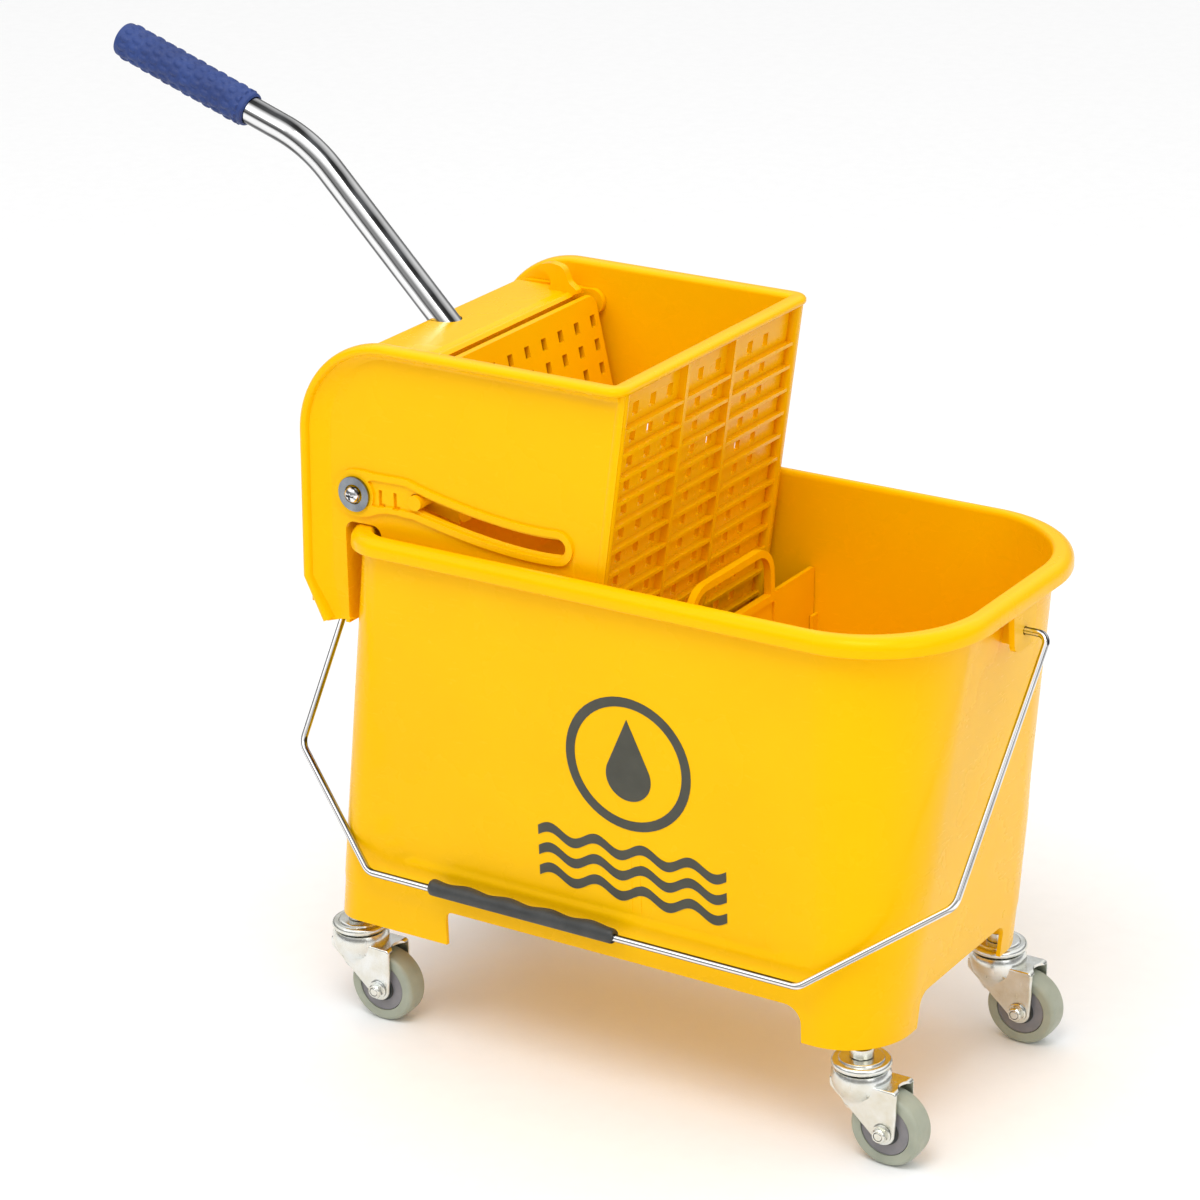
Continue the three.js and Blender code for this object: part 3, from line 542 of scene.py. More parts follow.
def soft_polymer(name, light, deep, low, high, grain, depth):
    """Rubber and matt plastics: mottled colour, fine grain, uneven dullness."""
    look = Nodes(name)
    look.colour(look.mix(look.spread(look.noise(55, 5, 0.6), 0.35, 0.7, 0, 1), light, deep))
    look.gloss(look.spread(look.noise(130, 4), 0.3, 0.7, low, high))
    look.bump(look.noise(grain, 4, 0.6), depth)
    return look.material


YELLOW = moulded_plastic("yellow_plastic", linear(255, 196, 0), linear(254, 192, 0), 0.26)
INNER_YELLOW = moulded_plastic("inner_yellow_plastic", linear(255, 194, 0), linear(253, 188, 0), 0.32)
# The chrome's base colour carries painted reflection bands.
CHROME = chrome("chrome")
ZINC = zinc("zinc", linear(232, 235, 234), linear(214, 212, 198))
STEEL = zinc("steel", linear(150, 155, 160), linear(116, 120, 126))
BLUE = soft_polymer("blue_rubber", linear(40, 66, 130), linear(32, 54, 112), 0.5, 0.68, 700, 0.00012)
DARK = soft_polymer("dark_plastic", linear(62, 64, 64), linear(44, 46, 46), 0.42, 0.6, 800, 0.0001)
TYRE = soft_polymer("tyre", linear(168, 172, 154), linear(154, 159, 142), 0.4, 0.55, 500, 0.00006)
GREY = soft_polymer("grey_plastic", linear(140, 137, 140), linear(122, 120, 123), 0.4, 0.55, 600, 0.00008)
BLACK = soft_polymer("black_plastic", linear(48, 53, 50), linear(34, 37, 36), 0.4, 0.5, 600, 0.00008)
PRINT = soft_polymer("print_ink", linear(66, 66, 54), linear(56, 56, 46), 0.35, 0.5, 600, 0.00002)


# ---------- tub ----------
def ring_at(level, steps=14, sides=0):
    """A rounded rectangle: left, right, half width and its corner radii, at a height."""
    left, right, half, z = level["left"], level["right"], level["half"], level["z"]
    lr, rr = level["left_r"], level["right_r"]
    corners = [arc((right - rr, half - rr), rr, 0, 90, steps),
               arc((left + lr, half - lr), lr, 90, 180, steps),
               arc((left + lr, lr - half), lr, 180, 270, steps),
               arc((right - rr, rr - half), rr, 270, 360, steps)]
    flat = []
    for i, corner in enumerate(corners):
        flat += corner
        start, end = Vector(corner[-1]), Vector(corners[(i + 1) % 4][0])
        flat += [tuple(start.lerp(end, k / (sides + 1))) for k in range(1, sides + 1)]
    return [(x, y, z) for x, y in flat]


def grown(level, by, z=None):
    return {"z": level["z"] if z is None else z, "left": level["left"] - by, "right": level["right"] + by,
            "half": level["half"] + by, "left_r": level["left_r"] + by, "right_r": level["right_r"] + by}


def wall_at(z):
    t = (z - FOOT["z"]) / (NECK["z"] - FOOT["z"])
    level = {key: FOOT[key] + (NECK[key] - FOOT[key]) * t for key in FOOT}
    level["z"] = z
    return level


def bowl_at(z, growth):
    level = grown(wall_at(z), growth - WALL)
    t = (z - BOWL_FLOOR) / (RIM["z"] - BOWL_FLOOR)
    level["left"] = BOWL_LEFT - 3 * t - growth
    return level


def heights(low, high, count):
    return [low + (high - low) * k / (count - 1) for k in range(count)]


def rim_loft():
    r = 7.5
    top = RIM["z"]
    levels = [(-8, top - 14), (-6.6, top - 13.2), (-1.4, top - 12.6), (-0.4, top - 12), (0, top - 11)]
    for a in heights(0, 90, 7):
        turn = math.radians(a)
        levels.append((-r * (1 - math.cos(turn)), top - r + r * math.sin(turn)))
    return loft([ring_at(grown(RIM, by, z), 20) for by, z in levels])


def bowl_loft():
    fillet = 15
    levels = []
    for a in heights(90, 0, 7):
        turn = math.radians(a)
        z = BOWL_FLOOR + fillet * (1 - math.sin(turn))
        levels.append(bowl_at(z, -fillet * (1 - math.cos(turn))))
    levels += [bowl_at(z, 0) for z in heights(BOWL_FLOOR + 40, RIM["z"] - 4, 6)]
    lip = bowl_at(RIM["z"] - 4, 0)
    edge = 3.0
    for a in (25, 50, 72, 90):
        turn = math.radians(a)
        levels.append(grown(lip, edge * (1 - math.cos(turn)), lip["z"] + (edge + 1) * math.sin(turn)))
    levels.append(grown(lip, edge + 0.4, RIM["z"] + 2))
    return loft([ring_at(level, 20) for level in levels])


def arch(low, high, radius_low, radius_high):
    bottom = FOOT["z"] - 20
    return rounded([(low, bottom, 0), (high, bottom, 0), (high, SKIRT_Z, radius_high),
                    (low, SKIRT_Z, radius_low)], 8)


def panel_outline():
    """The edge of the shallow recess of the bowl's skin between the foot columns."""
    top = NECK["z"] - 2
    return rounded([(-157, 133, 24), (168, 133, 46), (219, 186, 60), (226, 222, 40),
                    (NECK["right"] + 2, top, 0), (-160, top, 0)], 8)


def smooth(t):
    t = min(max(t, 0), 1)
    return t * t * (3 - 2 * t)


def inside_by(point, outline):
    """How far a point lies inside an outline, negative outside it."""
    x, z = point
    nearest, odd = 1e9, False
    for (ax, az), (bx, bz) in zip(outline, outline[1:] + outline[:1]):
        dx, dz = bx - ax, bz - az
        t = ((x - ax) * dx + (z - az) * dz) / max(dx * dx + dz * dz, 1e-9)
        t = min(max(t, 0), 1)
        nearest = min(nearest, math.hypot(x - ax - t * dx, z - az - t * dz))
        if (az > z) != (bz > z) and x < ax + (z - az) / (bz - az) * dx:
            odd = not odd
    return nearest if odd else -nearest


def panel_depth(z):
    """How far the bowl's skin is set back between the foot columns, deepest at the bottom."""
    t = (z - FOOT["z"]) / (NECK["z"] - FOOT["z"])
    return 2.8 - 1.8 * t


def skin_ring(z, outline):
    """One level of the tub's outside, with the bowl's skin set back and the feet a little drawn in."""
    level = wall_at(z)
    centre = (level["left"] + level["right"]) / 2
    ring = []
    for x, y, _ in ring_at(level, 20, 40):
        ramp = 4 + 20 * smooth((x - 120) / 80)
        back = panel_depth(z) * smooth(inside_by((x, z), outline) / ramp + 0.5)
        back += 0.7 * smooth((104 - z) / 3)
        spoke = Vector((x - min(max(x, centre - 120), centre + 120), y))
        spoke.normalize()
        ring.append((x - spoke.x * back, y - spoke.y * back, z))
    return ring


def stem_bosses():
    top = BOWL_FLOOR - 1
    tools = []
    for x, y in STEMS:
        tools.append(rod((x, y, FOOT["z"] + 2), (x, y, top), 12))
        tools.append(block(x - 22, x + 30, y - 1.5, y + 1.5, FOOT["z"] + 8, top))
        tools.append(block(x - 1.5, x + 1.5, y - 30, y + 30, FOOT["z"] + 8, top))
    return tools


def divider_rails():
    low, high = BOWL_FLOOR - 1, 265
    tools = []
    for y0 in (108.5, -125):
        for start in (DIVIDER_X - 4.5, DIVIDER_X + 2):
            tools.append(block(start, start + 2.5, y0, y0 + 16.5, low, high))
    return tools


def bail_bracket(side):
    """A plate that stands off the end wall under the rim, with a web back to the wall."""
    low, high = BAIL_PIVOT.z - 12, RIM["z"] - 9
    wall_x = wall_at(BAIL_PIVOT.z)["left" if side < 0 else "right"]
    outer = BRACKET_LEFT if side < 0 else BRACKET_RIGHT
    plate = cross_slab(rounded([(-16, high, 0), (16, high, 0), (13.5, low, 7), (-13.5, low, 7)]),
                       *sorted((outer - side * 4, outer)))
    web = cross_slab(rounded([(-6, high, 0), (6, high, 0), (5, low + 2, 2), (-5, low + 2, 2)]),
                     *sorted((wall_x - side * 3, outer - side * 2)))
    return [plate, web]


def make_tub():
    outline = panel_outline()
    outer = loft([skin_ring(z, outline) for z in heights(FOOT["z"], NECK["z"], 64)])
    clip = loft([ring_at(grown(wall_at(z), -2), 20) for z in heights(FOOT["z"], NECK["z"], 10)])
    fittings = common(join(*stem_bosses(), *divider_rails()), clip)
    shell = cut(join(outer, rim_loft()), bowl_loft())
    inside = loft([ring_at(grown(wall_at(z), -WALL)) for z in heights(FOOT["z"] - 6, 300, 6)])
    bowl = loft([ring_at(bowl_at(z, WALL)) for z in heights(BOWL_FLOOR - WALL, NECK["z"], 6)])
    hollow = cut(inside, bowl)
    along = slab(arch(FEET_INNER["left"], FEET_INNER["right"], 6, 12), -200, 200)
    across = cross_slab(arch(-FEET_INNER["half"], FEET_INNER["half"], 9, 9), -300, 300)
    shell = cut(shell, hollow, along, across)
    shell = join(shell, fittings, *bail_bracket(-1), *bail_bracket(1))
    holes = [rod((x, y, FOOT["z"] - 5), (x, y, BOWL_FLOOR - 6), 5.8) for x, y in STEMS]
    wire_hole = BAIL_R + 0.5
    pivots = [rod((x0, 0, BAIL_PIVOT.z), (x1, 0, BAIL_PIVOT.z), wire_hole, segments=24)
              for x0, x1 in ((-179, -200), (251, 270))]
    return soften(cut(shell, *holes, *pivots), 0.9)


# ---------- wringer ----------
def panel_x(z):
    return WRINGER_HIGH.x + (z - CHEEK_TOP) * PANEL_LEAN


def cheek_outline(inset=0.0):
    notch_top = RIM["z"] + 1.5
    top = CHEEK_TOP - inset
    return (rounded([(NOTCH_LEFT, LEG_LOW, 2), (NOTCH_LEFT, notch_top, 7), (BASKET["back"], notch_top, 7),
                     (BASKET["back"], BASKET["slope_z"], 4), (BASKET["slope_x"], BASKET["floor"], 4),
                     (panel_x(BASKET["floor"]), BASKET["floor"], 0), (panel_x(top) - inset, top, 0)])
            + arc((CHEEK_ARC["x"], CHEEK_ARC["z"]), CHEEK_ARC["r"] - inset, 90, 180, 20)
            + [(LEFT + inset, 322), (LEG_TIP + inset, LEG_LOW)])


def lip_cutter():
    """The hollow outside the cheek's face, whose edge flares out to the rolled rim."""
    edge, wide, tall = 4.5, 16, 7
    depth = CHEEK_LIP - BEAD_R - CHEEK_FACE
    steps = [(t, CHEEK_FACE + depth * t ** 1.35) for t in heights(0, 1, 10)]
    rings = []
    for t, y in steps + [(1, CHEEK_LIP + 6)]:
        side = edge + wide * (1 - t)
        top = edge + tall * (1 - t)
        a, b = CHEEK_ARC["r"] - side, CHEEK_ARC["r"] - top
        curve = [(CHEEK_ARC["x"] + a * math.cos(t), CHEEK_ARC["z"] + b * math.sin(t))
                 for t in np.linspace(math.pi / 2, math.pi, 21)]
        foot = LEG_TIP + 0.7 * side - 1
        outline = [(90, 200), (90, CHEEK_TOP - top)] + curve
        outline += [(LEFT + side, 323), (foot, 290), (foot, 200)]
        rings.append([(x, y, z) for x, z in outline])
    return loft(rings)


def rim_section():
    """The wringer's rolled edge: a low dome from its inner face out to a tight curl."""
    half = (CHEEK_LIP - CHEEK_IN) / 2
    points = []
    for a in heights(0, 345, 24):
        turn = math.radians(a)
        u, v = math.cos(turn), math.sin(turn)
        rise = RIM_RISE if v > 0 else BEAD_R
        points.append((half * math.copysign(abs(u) ** 0.85, u), rise * math.copysign(abs(v) ** 0.85, v)))
    return points


def rolled_rim():
    """The rolled edge along the cheeks' outer sides and the front panel's top."""
    half = (CHEEK_LIP - CHEEK_IN) / 2
    side = CHEEK_LIP - half
    front = WRINGER_HIGH.x + 1.5 - half
    top = CHEEK_TOP - RIM_RISE
    rise = [(LEG_TIP + RIM_RISE + 1.2, LEG_LOW + 1.5), (LEFT + RIM_RISE, 321)]
    rise += arc((CHEEK_ARC["x"], CHEEK_ARC["z"]), CHEEK_ARC["r"] - RIM_RISE, 180, 90, 24)
    near = [Vector((x, -side, z)) for x, z in rise]
    corner = 6.5
    turn = [Vector((x, y, top)) for x, y in arc((front - corner, corner - side), corner, 270, 360, 10)]
    path = near + turn
    path += [Vector((p.x, -p.y, p.z)) for p in reversed(path)]
    return sweep(path, rim_section())


def corner_posts():
    """The rounded upright edges between the cheeks' faces and the front panel."""
    posts = []
    for sy in (-1, 1):
        y = sy * (CHEEK_FACE - 3.6)
        low, high = BASKET["floor"] + 0.3, CHEEK_TOP - RIM_RISE
        posts.append(rod((panel_x(low) - 3.6, y, low), (panel_x(high) - 3.6, y, high), 4.2, segments=40))
    return posts


def pin_place(turn):
    """Where the guide pin is when the lever has turned this far."""
    def spun(x, z, a):
        return x * math.cos(a) - z * math.sin(a), x * math.sin(a) + z * math.cos(a)
    hx, hz = spun(HINGE.x - PIVOT.x, HINGE.z - PIVOT.z, -turn)
    ax, az = spun(PLATE_PIN.x - HINGE.x, PLATE_PIN.z - HINGE.z, PLATE_RATIO * turn)
    return PIVOT.x + hx + ax, PIVOT.z + hz + az


def ribbon(stations, cap_steps=10):
    """The outline of a strip through (x, z, half width) stations, with round ends."""
    path = [Vector((x, z)) for x, z, _ in stations]
    normals = []
    for i in range(len(path)):
        ahead = (path[min(i + 1, len(path) - 1)] - path[max(i - 1, 0)]).normalized()
        normals.append(Vector((-ahead.y, ahead.x)))
    def cap(i, start):
        radius = stations[i][2]
        return [(path[i].x + radius * math.cos(a), path[i].y + radius * math.sin(a))
                for a in np.linspace(start, start - math.pi, cap_steps + 1)]
    upper = [tuple(path[i] + normals[i] * stations[i][2]) for i in range(1, len(path) - 1)]
    lower = [tuple(path[i] - normals[i] * stations[i][2]) for i in range(len(path) - 2, 0, -1)]
    end = cap(len(path) - 1, math.atan2(normals[-1].y, normals[-1].x))
    start = cap(0, math.atan2(-normals[0].y, -normals[0].x))
    return upper + end + lower + start


def slot_stations(half, count=13):
    return [(*pin_place(LEVER_TRAVEL * k / (count - 1)), half) for k in range(count)]


def boss_stations(margin):
    """The raised guide strip: round the pivot, a waist, and on along the slot."""
    start = [(PIVOT.x, PIVOT.z, 16 - margin), (-163, 384.2, 15.2 - margin), (-155, 385.5, 13.4 - margin),
             (-147, 386.3, 12.6 - margin), (-139, 386.6, 12.6 - margin), (-131, 386.2, 12.9 - margin)]
    return start + slot_stations(11.6 - margin)


def cheek():
    plate = cut(slab(cheek_outline(RIM_RISE), CHEEK_IN, CHEEK_LIP - BEAD_R), lip_cutter())
    leg_edge = block(NOTCH_LEFT - SHEET, NOTCH_LEFT, CHEEK_IN - 12, CHEEK_FACE, LEG_LOW, RIM["z"] + 1)
    strip = slab(ribbon(boss_stations(0)), CHEEK_FACE - 1, CHEEK_FACE + 2.2)
    ring = cross_rod(PIVOT.x, PIVOT.z, CHEEK_FACE - 1, CHEEK_FACE + 2.0, 13, 48)
    pocket = slab(ribbon(boss_stations(4.2)[2:]), CHEEK_FACE + 0.5, CHEEK_FACE + 6)
    pocket = cut(pocket, cross_rod(PIVOT.x, PIVOT.z, 90, 130, 14, 48))
    body = join(cut(join(plate, leg_edge, strip), pocket), ring)
    for x in (-153.5, -142):
        mark = [(x, 377), (x + 5, 377), (x + 5, 379.4), (x + 2.6, 379.4), (x + 2.6, 388), (x, 388)]
        body = cut(body, slab(mark, CHEEK_IN + 1, CHEEK_FACE + 4))
    return body


def basket_sheet():
    deck = RIM["z"] + 0.3
    inner = panel_x(CHEEK_TOP) - PANEL_DEPTH
    foot = panel_x(BASKET["floor"]) - PANEL_DEPTH
    outline = rounded([
        (inner, CHEEK_TOP - RIM_RISE, 0), (foot, BASKET["floor"], 5),
        (BASKET["slope_x"], BASKET["floor"], 6),
        (BASKET["back"], BASKET["slope_z"], 6), (BASKET["back"], deck, 2), (LEFT + SHEET, deck, 2),
        (LEFT + SHEET, APRON_LOW, 0), (LEFT, APRON_LOW, 0), (LEFT, deck + SHEET, 5),
        (BASKET["back"] + SHEET, deck + SHEET, 2), (BASKET["back"] + SHEET, BASKET["slope_z"] + 1.5, 4),
        (BASKET["slope_x"] + 1.5, BASKET["floor"] + SHEET, 4), (foot - SHEET, BASKET["floor"] + SHEET, 3),
        (inner - SHEET, CHEEK_TOP - RIM_RISE, 0)])
    return slab(outline, -CHEEK_IN - 1, CHEEK_IN + 1)


def panel_strip(z0, z1, y0, y1, stand=0.0):
    root = PANEL_DEPTH + 1
    outline = [(panel_x(z0) - root, z0), (panel_x(z0) + stand, z0), (panel_x(z1) + stand, z1),
               (panel_x(z1) - root, z1)]
    return slab(outline, y0, y1)


def panel_ribs():
    edge = CHEEK_FACE
    ribs = [panel_strip(CHEEK_TOP - RIM_RISE - 3, CHEEK_TOP - RIM_RISE, 6 - edge, edge - 6)]
    for k in range(RIB_COUNT):
        z = RIB_TOP - k * RIB_PITCH
        ribs.append(panel_strip(z - 1.2, z + 1.2, -edge + 0.5, edge - 0.5, -0.4))
    for y in (2 - edge, *RIB_POSTS, edge - 2):
        ribs.append(panel_strip(BASKET["floor"] + 0.2, CHEEK_TOP - RIM_RISE, y - 1.7, y + 1.7))
    return ribs


def blocks(boxes):
    """Separate boxes as one cutting tool."""
    points, faces = [], []
    for x0, x1, y0, y1, z0, z1 in boxes:
        n = len(points)
        points += [(x, y, z) for z in (z0, z1) for x, y in ((x0, y0), (x1, y0), (x1, y1), (x0, y1))]
        faces += [(n, n + 3, n + 2, n + 1), (n + 4, n + 5, n + 6, n + 7)]
        faces += [(n + k, n + (k + 1) % 4, n + 4 + (k + 1) % 4, n + 4 + k) for k in range(4)]
    return new_object(points, faces)


def drain_holes():
    boxes = []
    rows = [(RIB_TOP + 10, 4.4)]
    rows += [(RIB_TOP - (k + HOLE_DROP) * RIB_PITCH, 3.3) for k in range(RIB_COUNT - 1)]
    for z, tall in rows:
        x = panel_x(z) - PANEL_DEPTH
        for y in HOLE_COLUMNS:
            boxes.append((x - 6, x + 3, y - 3.3, y + 3.3, z - tall, z + tall))
    for i in range(3):
        for j in range(5):
            x, y = -108 + i * 36, -80 + j * 40
            boxes.append((x, x + 18, y - 5, y + 5, BASKET["floor"] - 4, BASKET["floor"] + 6))
    return blocks(boxes)


def make_wringer():
    near = cheek()
    body = join(near, mirrored(near), basket_sheet(), *panel_ribs(), *corner_posts())
    slot = slab(ribbon(slot_stations(PIN_R + 0.6)), -130, 130)
    pivot_hole = cross_rod(PIVOT.x, PIVOT.z, -130, 130, 4.4)
    wire_notch = block(LEFT - 5, LEFT + 8, -9, 9, APRON_LOW - 5, BAIL_PIVOT.z + 10)
    body = cut(body, slot, pivot_hole, wire_notch, drain_holes())
    return soften(join(body, rolled_rim()), 0.5)


# ---------- divider ----------
def make_divider():
    low = BOWL_FLOOR + 0.3
    top = 298
    low_half = bowl_at(low, 0)["half"] - 1
    top_half = bowl_at(top, 0)["half"] - 1
    x0, x1 = DIVIDER_X - SHEET / 2, DIVIDER_X + SHEET / 2
    sheet = cross_slab(rounded([(-low_half, low, 2), (low_half, low, 2),
                                (top_half, top, 2), (-top_half, top, 2)]), x0, x1)
    centre, half, rise, band = 5, 54, DIVIDER_HIGH.z - top, 5
    loop = cross_slab(rounded([(centre - half, top - 5, 0), (centre + half, top - 5, 0),
                               (centre + half - 1, top + rise, 22),
                               (centre - half + 1, top + rise, 22)], 10), x0 - 0.2, x1 + 2)
    hole = cross_slab(rounded([(centre - half + band, top + 0.5, 0), (centre + half - band, top + 0.5, 0),
                               (centre + half - band - 1, top + rise - band, 16),
                               (centre - half + band + 1, top + rise - band, 16)], 10), x0 - 5, x1 + 5)
    body = cut(join(sheet, loop), hole)
    ribs = [block(x1 - 0.5, x1 + 1.6, y - 1, y + 1, low + 4, top - 6) for y in (-60, 60)]
    return soften(join(body, *ribs), 0.7)


# ---------- lever ----------
def tube_path():
    """The lever tube's middle line, from inside the head to the tip."""
    entry = Vector((PIVOT.x - 7.5, 0, PIVOT.z + 89))
    bend = Vector((PIVOT.x - 108, 0, PIVOT.z + 191))
    tip = Vector((PIVOT.x - 258, 0, PIVOT.z + 243.5))
    into = (entry - bend).normalized()
    return entry, bend, tip, into


def make_lever_tube():
    entry, bend, tip, into = tube_path()
    path = bent([entry + into * TUBE_SOCKET, bend, tip], TUBE_BEND_R, 24)
    tube = sweep(path, circle(TUBE_R, 48))
    beyond = tip + (tip - bend).normalized() * 3
    bore = sweep([path[0] + into * 3] + path[1:-1] + [beyond], circle(TUBE_BORE, 32))
    return soften(cut(tube, bore), 0.3, planar=False)


def make_lever_grip():
    """A rubber sleeve with staggered rows of oval bumps, closed at its end."""
    _, bend, tip, _ = tube_path()
    back = (bend - tip).normalized()
    outer = tip - back * 3.3
    side, other, along = axis_frame(back)
    turns, rows = 144, 150
    bumps_round, bump_pitch = 12, 9.0
    rings = []
    for i in range(rows + 1):
        d = GRIP_LENGTH * i / rows
        end = min(d, GRIP_LENGTH - d)
        shoulder = 2.2
        fall = shoulder - math.sqrt(max(shoulder ** 2 - max(shoulder - end, 0) ** 2, 0))
        ring = []
        for k in range(turns):
            a = 2 * math.pi * k / turns
            row = round((d - 8) / bump_pitch)
            along_off = (d - 8) - row * bump_pitch
            phase = 0.5 * (row % 2)
            place = (a / (2 * math.pi) * bumps_round + phase) % 1 - 0.5
            around_off = place * 2 * math.pi * GRIP_R / bumps_round
            inside = 8 - 4 < d < GRIP_LENGTH - 5
            reach = math.hypot(along_off / 3.6, around_off / 2.5)
            lift = BUMP_HEIGHT * max(0.0, 1 - reach ** 2) ** 0.5 if inside and reach < 1 else 0
            r = GRIP_R - fall + lift
            ring.append(outer + along * d + side * r * math.cos(a) + other * r * math.sin(a))
        rings.append(ring)
    sleeve = loft(rings)
    bore = rod(tip - back * 0.3, tip + back * (GRIP_LENGTH + 5), TUBE_R + 0.5, segments=48)
    return cut(sleeve, bore)


def head_outline():
    top = DECK_TOP
    return rounded([(PIVOT.x - 14, PIVOT.z + 4, 3), (PIVOT.x - 13, top - 1, 6), (PIVOT.x + 36, top, 1.5),
                    (PIVOT.x + 36.5, top - 6, 1.5), (PIVOT.x + 33, top - 14, 6),
                    (PIVOT.x + 14, PIVOT.z - 3, 6), (PIVOT.x, PIVOT.z - 12, 9),
                    (PIVOT.x - 11, PIVOT.z - 9, 6)])


def hinge_ear(y0, y1):
    x, z = HINGE.x, HINGE.z
    return [cross_rod(x, z, y0, y1, 9, 40), block(PIVOT.x + 25, x, y0, y1, z - 8.5, z + 8.5)]


def deck_hook():
    """The raised end of the deck, with an open snap hook for a rod."""
    top = DECK_TOP
    x, z, r = PIVOT.x + 13.5, top + 4.5, 8.3
    inside = [(a, b, 0) for a, b in arc((x, z), r, 236, 459, 24)]
    shape = rounded([(x - 17, top - 9, 0), (x - 17, top - 0.3, 0), (x - 8, top + 0.2, 3), *inside,
                     (x - 2.6, z + 9.6, 0.6), (x + 1.5, z + 12.4, 3), (x + 9, z + 14, 6),
                     (x + 18.5, z + 12.6, 7), (x + 22.5, z + 2.5, 6), (x + 29, top + 2, 1),
                     (x + 29, top - 9, 0)])
    hook = slab(shape, DECK_END_Y, DECK_END_Y + 6)
    return cut(hook, cross_rod(HINGE.x, HINGE.z, 70, 120, 9.2, 48))


def deck_edge():
    """A narrow gutter from the deck down behind the press plate's barrel."""
    x, z = HINGE.x, HINGE.z
    bar = slab(rounded([(x - 10, DECK_TOP - 5, 0), (x - 10, DECK_TOP, 0), (x - 8, DECK_TOP, 2),
                        (x - 4.2, z + 4.8, 1), (x - 4.2, z - 4, 0.5), (x - 8, z - 4, 0)]),
               6 - HEAD_HALF, 92)
    return cut(bar, cross_rod(x, z, -120, 120, 8.8, 48))


def make_lever_head():
    top = DECK_TOP
    half = HEAD_HALF
    inner = half - 4
    outline = head_outline()
    sides = [slab(outline, -half, -inner), slab(outline, inner, half)]
    rear_edge = [(PIVOT.x - 12, top - 5, 1), (PIVOT.x - 12, top, 5)]
    deck = slab(rounded([*rear_edge, (PIVOT.x + 30, top, 2.5), (PIVOT.x + 36, top - 3, 1.5),
                         (PIVOT.x + 36, top - 6, 1)]), -inner - 1, inner - 6)
    low_end = slab(rounded([(PIVOT.x - 12, top - 9, 1), (PIVOT.x - 12, top - 4, 3),
                            (PIVOT.x + 12, top - 4, 4), (PIVOT.x + 33, top - 4, 2),
                            (PIVOT.x + 33, top - 9, 1)]), inner - 7, inner + 1)
    rear = slab([(PIVOT.x - 14, PIVOT.z + 4), (PIVOT.x - 13, top - 4), (PIVOT.x - 9, top - 4),
                 (PIVOT.x - 10, PIVOT.z + 4)], -inner - 1, inner + 1)
    hub = cross_rod(PIVOT.x, PIVOT.z, -CHEEK_IN + 0.5, CHEEK_IN - 0.5, 12, 48)
    entry, _, _, into = tube_path()
    socket = rod(entry + into * (TUBE_SOCKET + 4), entry - into * 16, 14, segments=48)
    core = common(socket, slab(outline, -20, 20))
    ears = hinge_ear(-half, -inner) + hinge_ear(inner, half)
    body = join(sides[0], sides[1], *ears, deck, low_end, deck_hook(), deck_edge(), rear, hub, core)
    bore = rod(entry + into * (TUBE_SOCKET + 0.3), entry - into * 40, TUBE_R + 0.5, segments=48)
    rod_hole = cross_rod(HINGE.x, HINGE.z, -120, 120, 2.8)
    bolt = entry + into * (TUBE_SOCKET / 2)
    bolt_hole = cross_rod(bolt.x, bolt.z, -30, 30, 2.8)
    screws = [cross_rod(PIVOT.x, PIVOT.z, *sorted((side * 120, side * (CHEEK_IN - 22))), 3.3)
              for side in (-1, 1)]
    return soften(cut(body, bore, rod_hole, bolt_hole, *screws), 0.6)


def turned_plate(obj):
    """From hanging straight down under the hinge at the origin to the plate's leaning rest place."""
    hinge = Matrix.Translation((HINGE.x, 0, HINGE.z))
    obj.data.transform(hinge @ Matrix.Rotation(-PLATE_LEAN, 4, "Y"))
    return obj


def make_press_plate():
    face, thick, half, length = 7, 3.5, 98, 94
    lean_pin = Vector((PLATE_PIN.x - HINGE.x, PLATE_PIN.z - HINGE.z))
    pin = Vector((lean_pin.x * math.cos(PLATE_LEAN) + lean_pin.y * math.sin(PLATE_LEAN),
                  -lean_pin.x * math.sin(PLATE_LEAN) + lean_pin.y * math.cos(PLATE_LEAN)))
    sheet = cross_slab(rounded([(-half, -length, 5), (half, -length, 5), (half, 6, 7), (-half, 6, 7)]),
                       face - thick, face)
    barrel = cross_rod(0, 0, -half, half, 6, 48)
    flange = rounded([(face - 1, 0, 0), (-4, -4, 4), (pin.x - 8, pin.y + 6, 5), (pin.x - 8, pin.y - 6, 5),
                      (pin.x + 2, pin.y - 11, 5), (face - 1, -length, 0)])
    parts = [barrel, slab(flange, half - 4, half), slab(flange, -half, 4 - half)]
    for y0, y1 in ((-113.5, 2 - half), (half - 2, 113.5)):
        parts.append(cross_rod(pin.x, pin.y, y0, y1, PIN_R, 40))
    for y in (-60, -20, 20, 60):
        parts.append(block(face - 9, face - 1, y - 1.2, y + 1.2, -length + 1, -9))
    holes = []
    wide, tall = PLATE_HOLE["half_y"], PLATE_HOLE["half_z"]
    for row in range(5):
        for column in range(10):
            y = (column - 4.5) * PLATE_HOLE["pitch_y"]
            z = PLATE_HOLE["first_z"] - row * PLATE_HOLE["pitch_z"]
            holes.append((-3, face + 2, y - wide, y + wide, z - tall, z + tall))
    body = cut(join(sheet, *parts), blocks(holes), cross_rod(0, 0, -120, 120, 2.8))
    return turned_plate(soften(body, 0.6))


def make_tube_bolt():
    entry, _, _, into = tube_path()
    at = entry + into * (TUBE_SOCKET / 2)
    shank = cross_rod(at.x, at.z, -18, 18, 2.5)
    head = lathe([(4.5, 0), (4.5, 2.6)], (at.x, -18, at.z), (0, 1, 0), segments=6)
    nut = lathe([(4.5, 0), (4.5, 3.6)], (at.x, 15.4, at.z), (0, 1, 0), segments=6)
    return soften(join(shank, head, nut), 0.3)


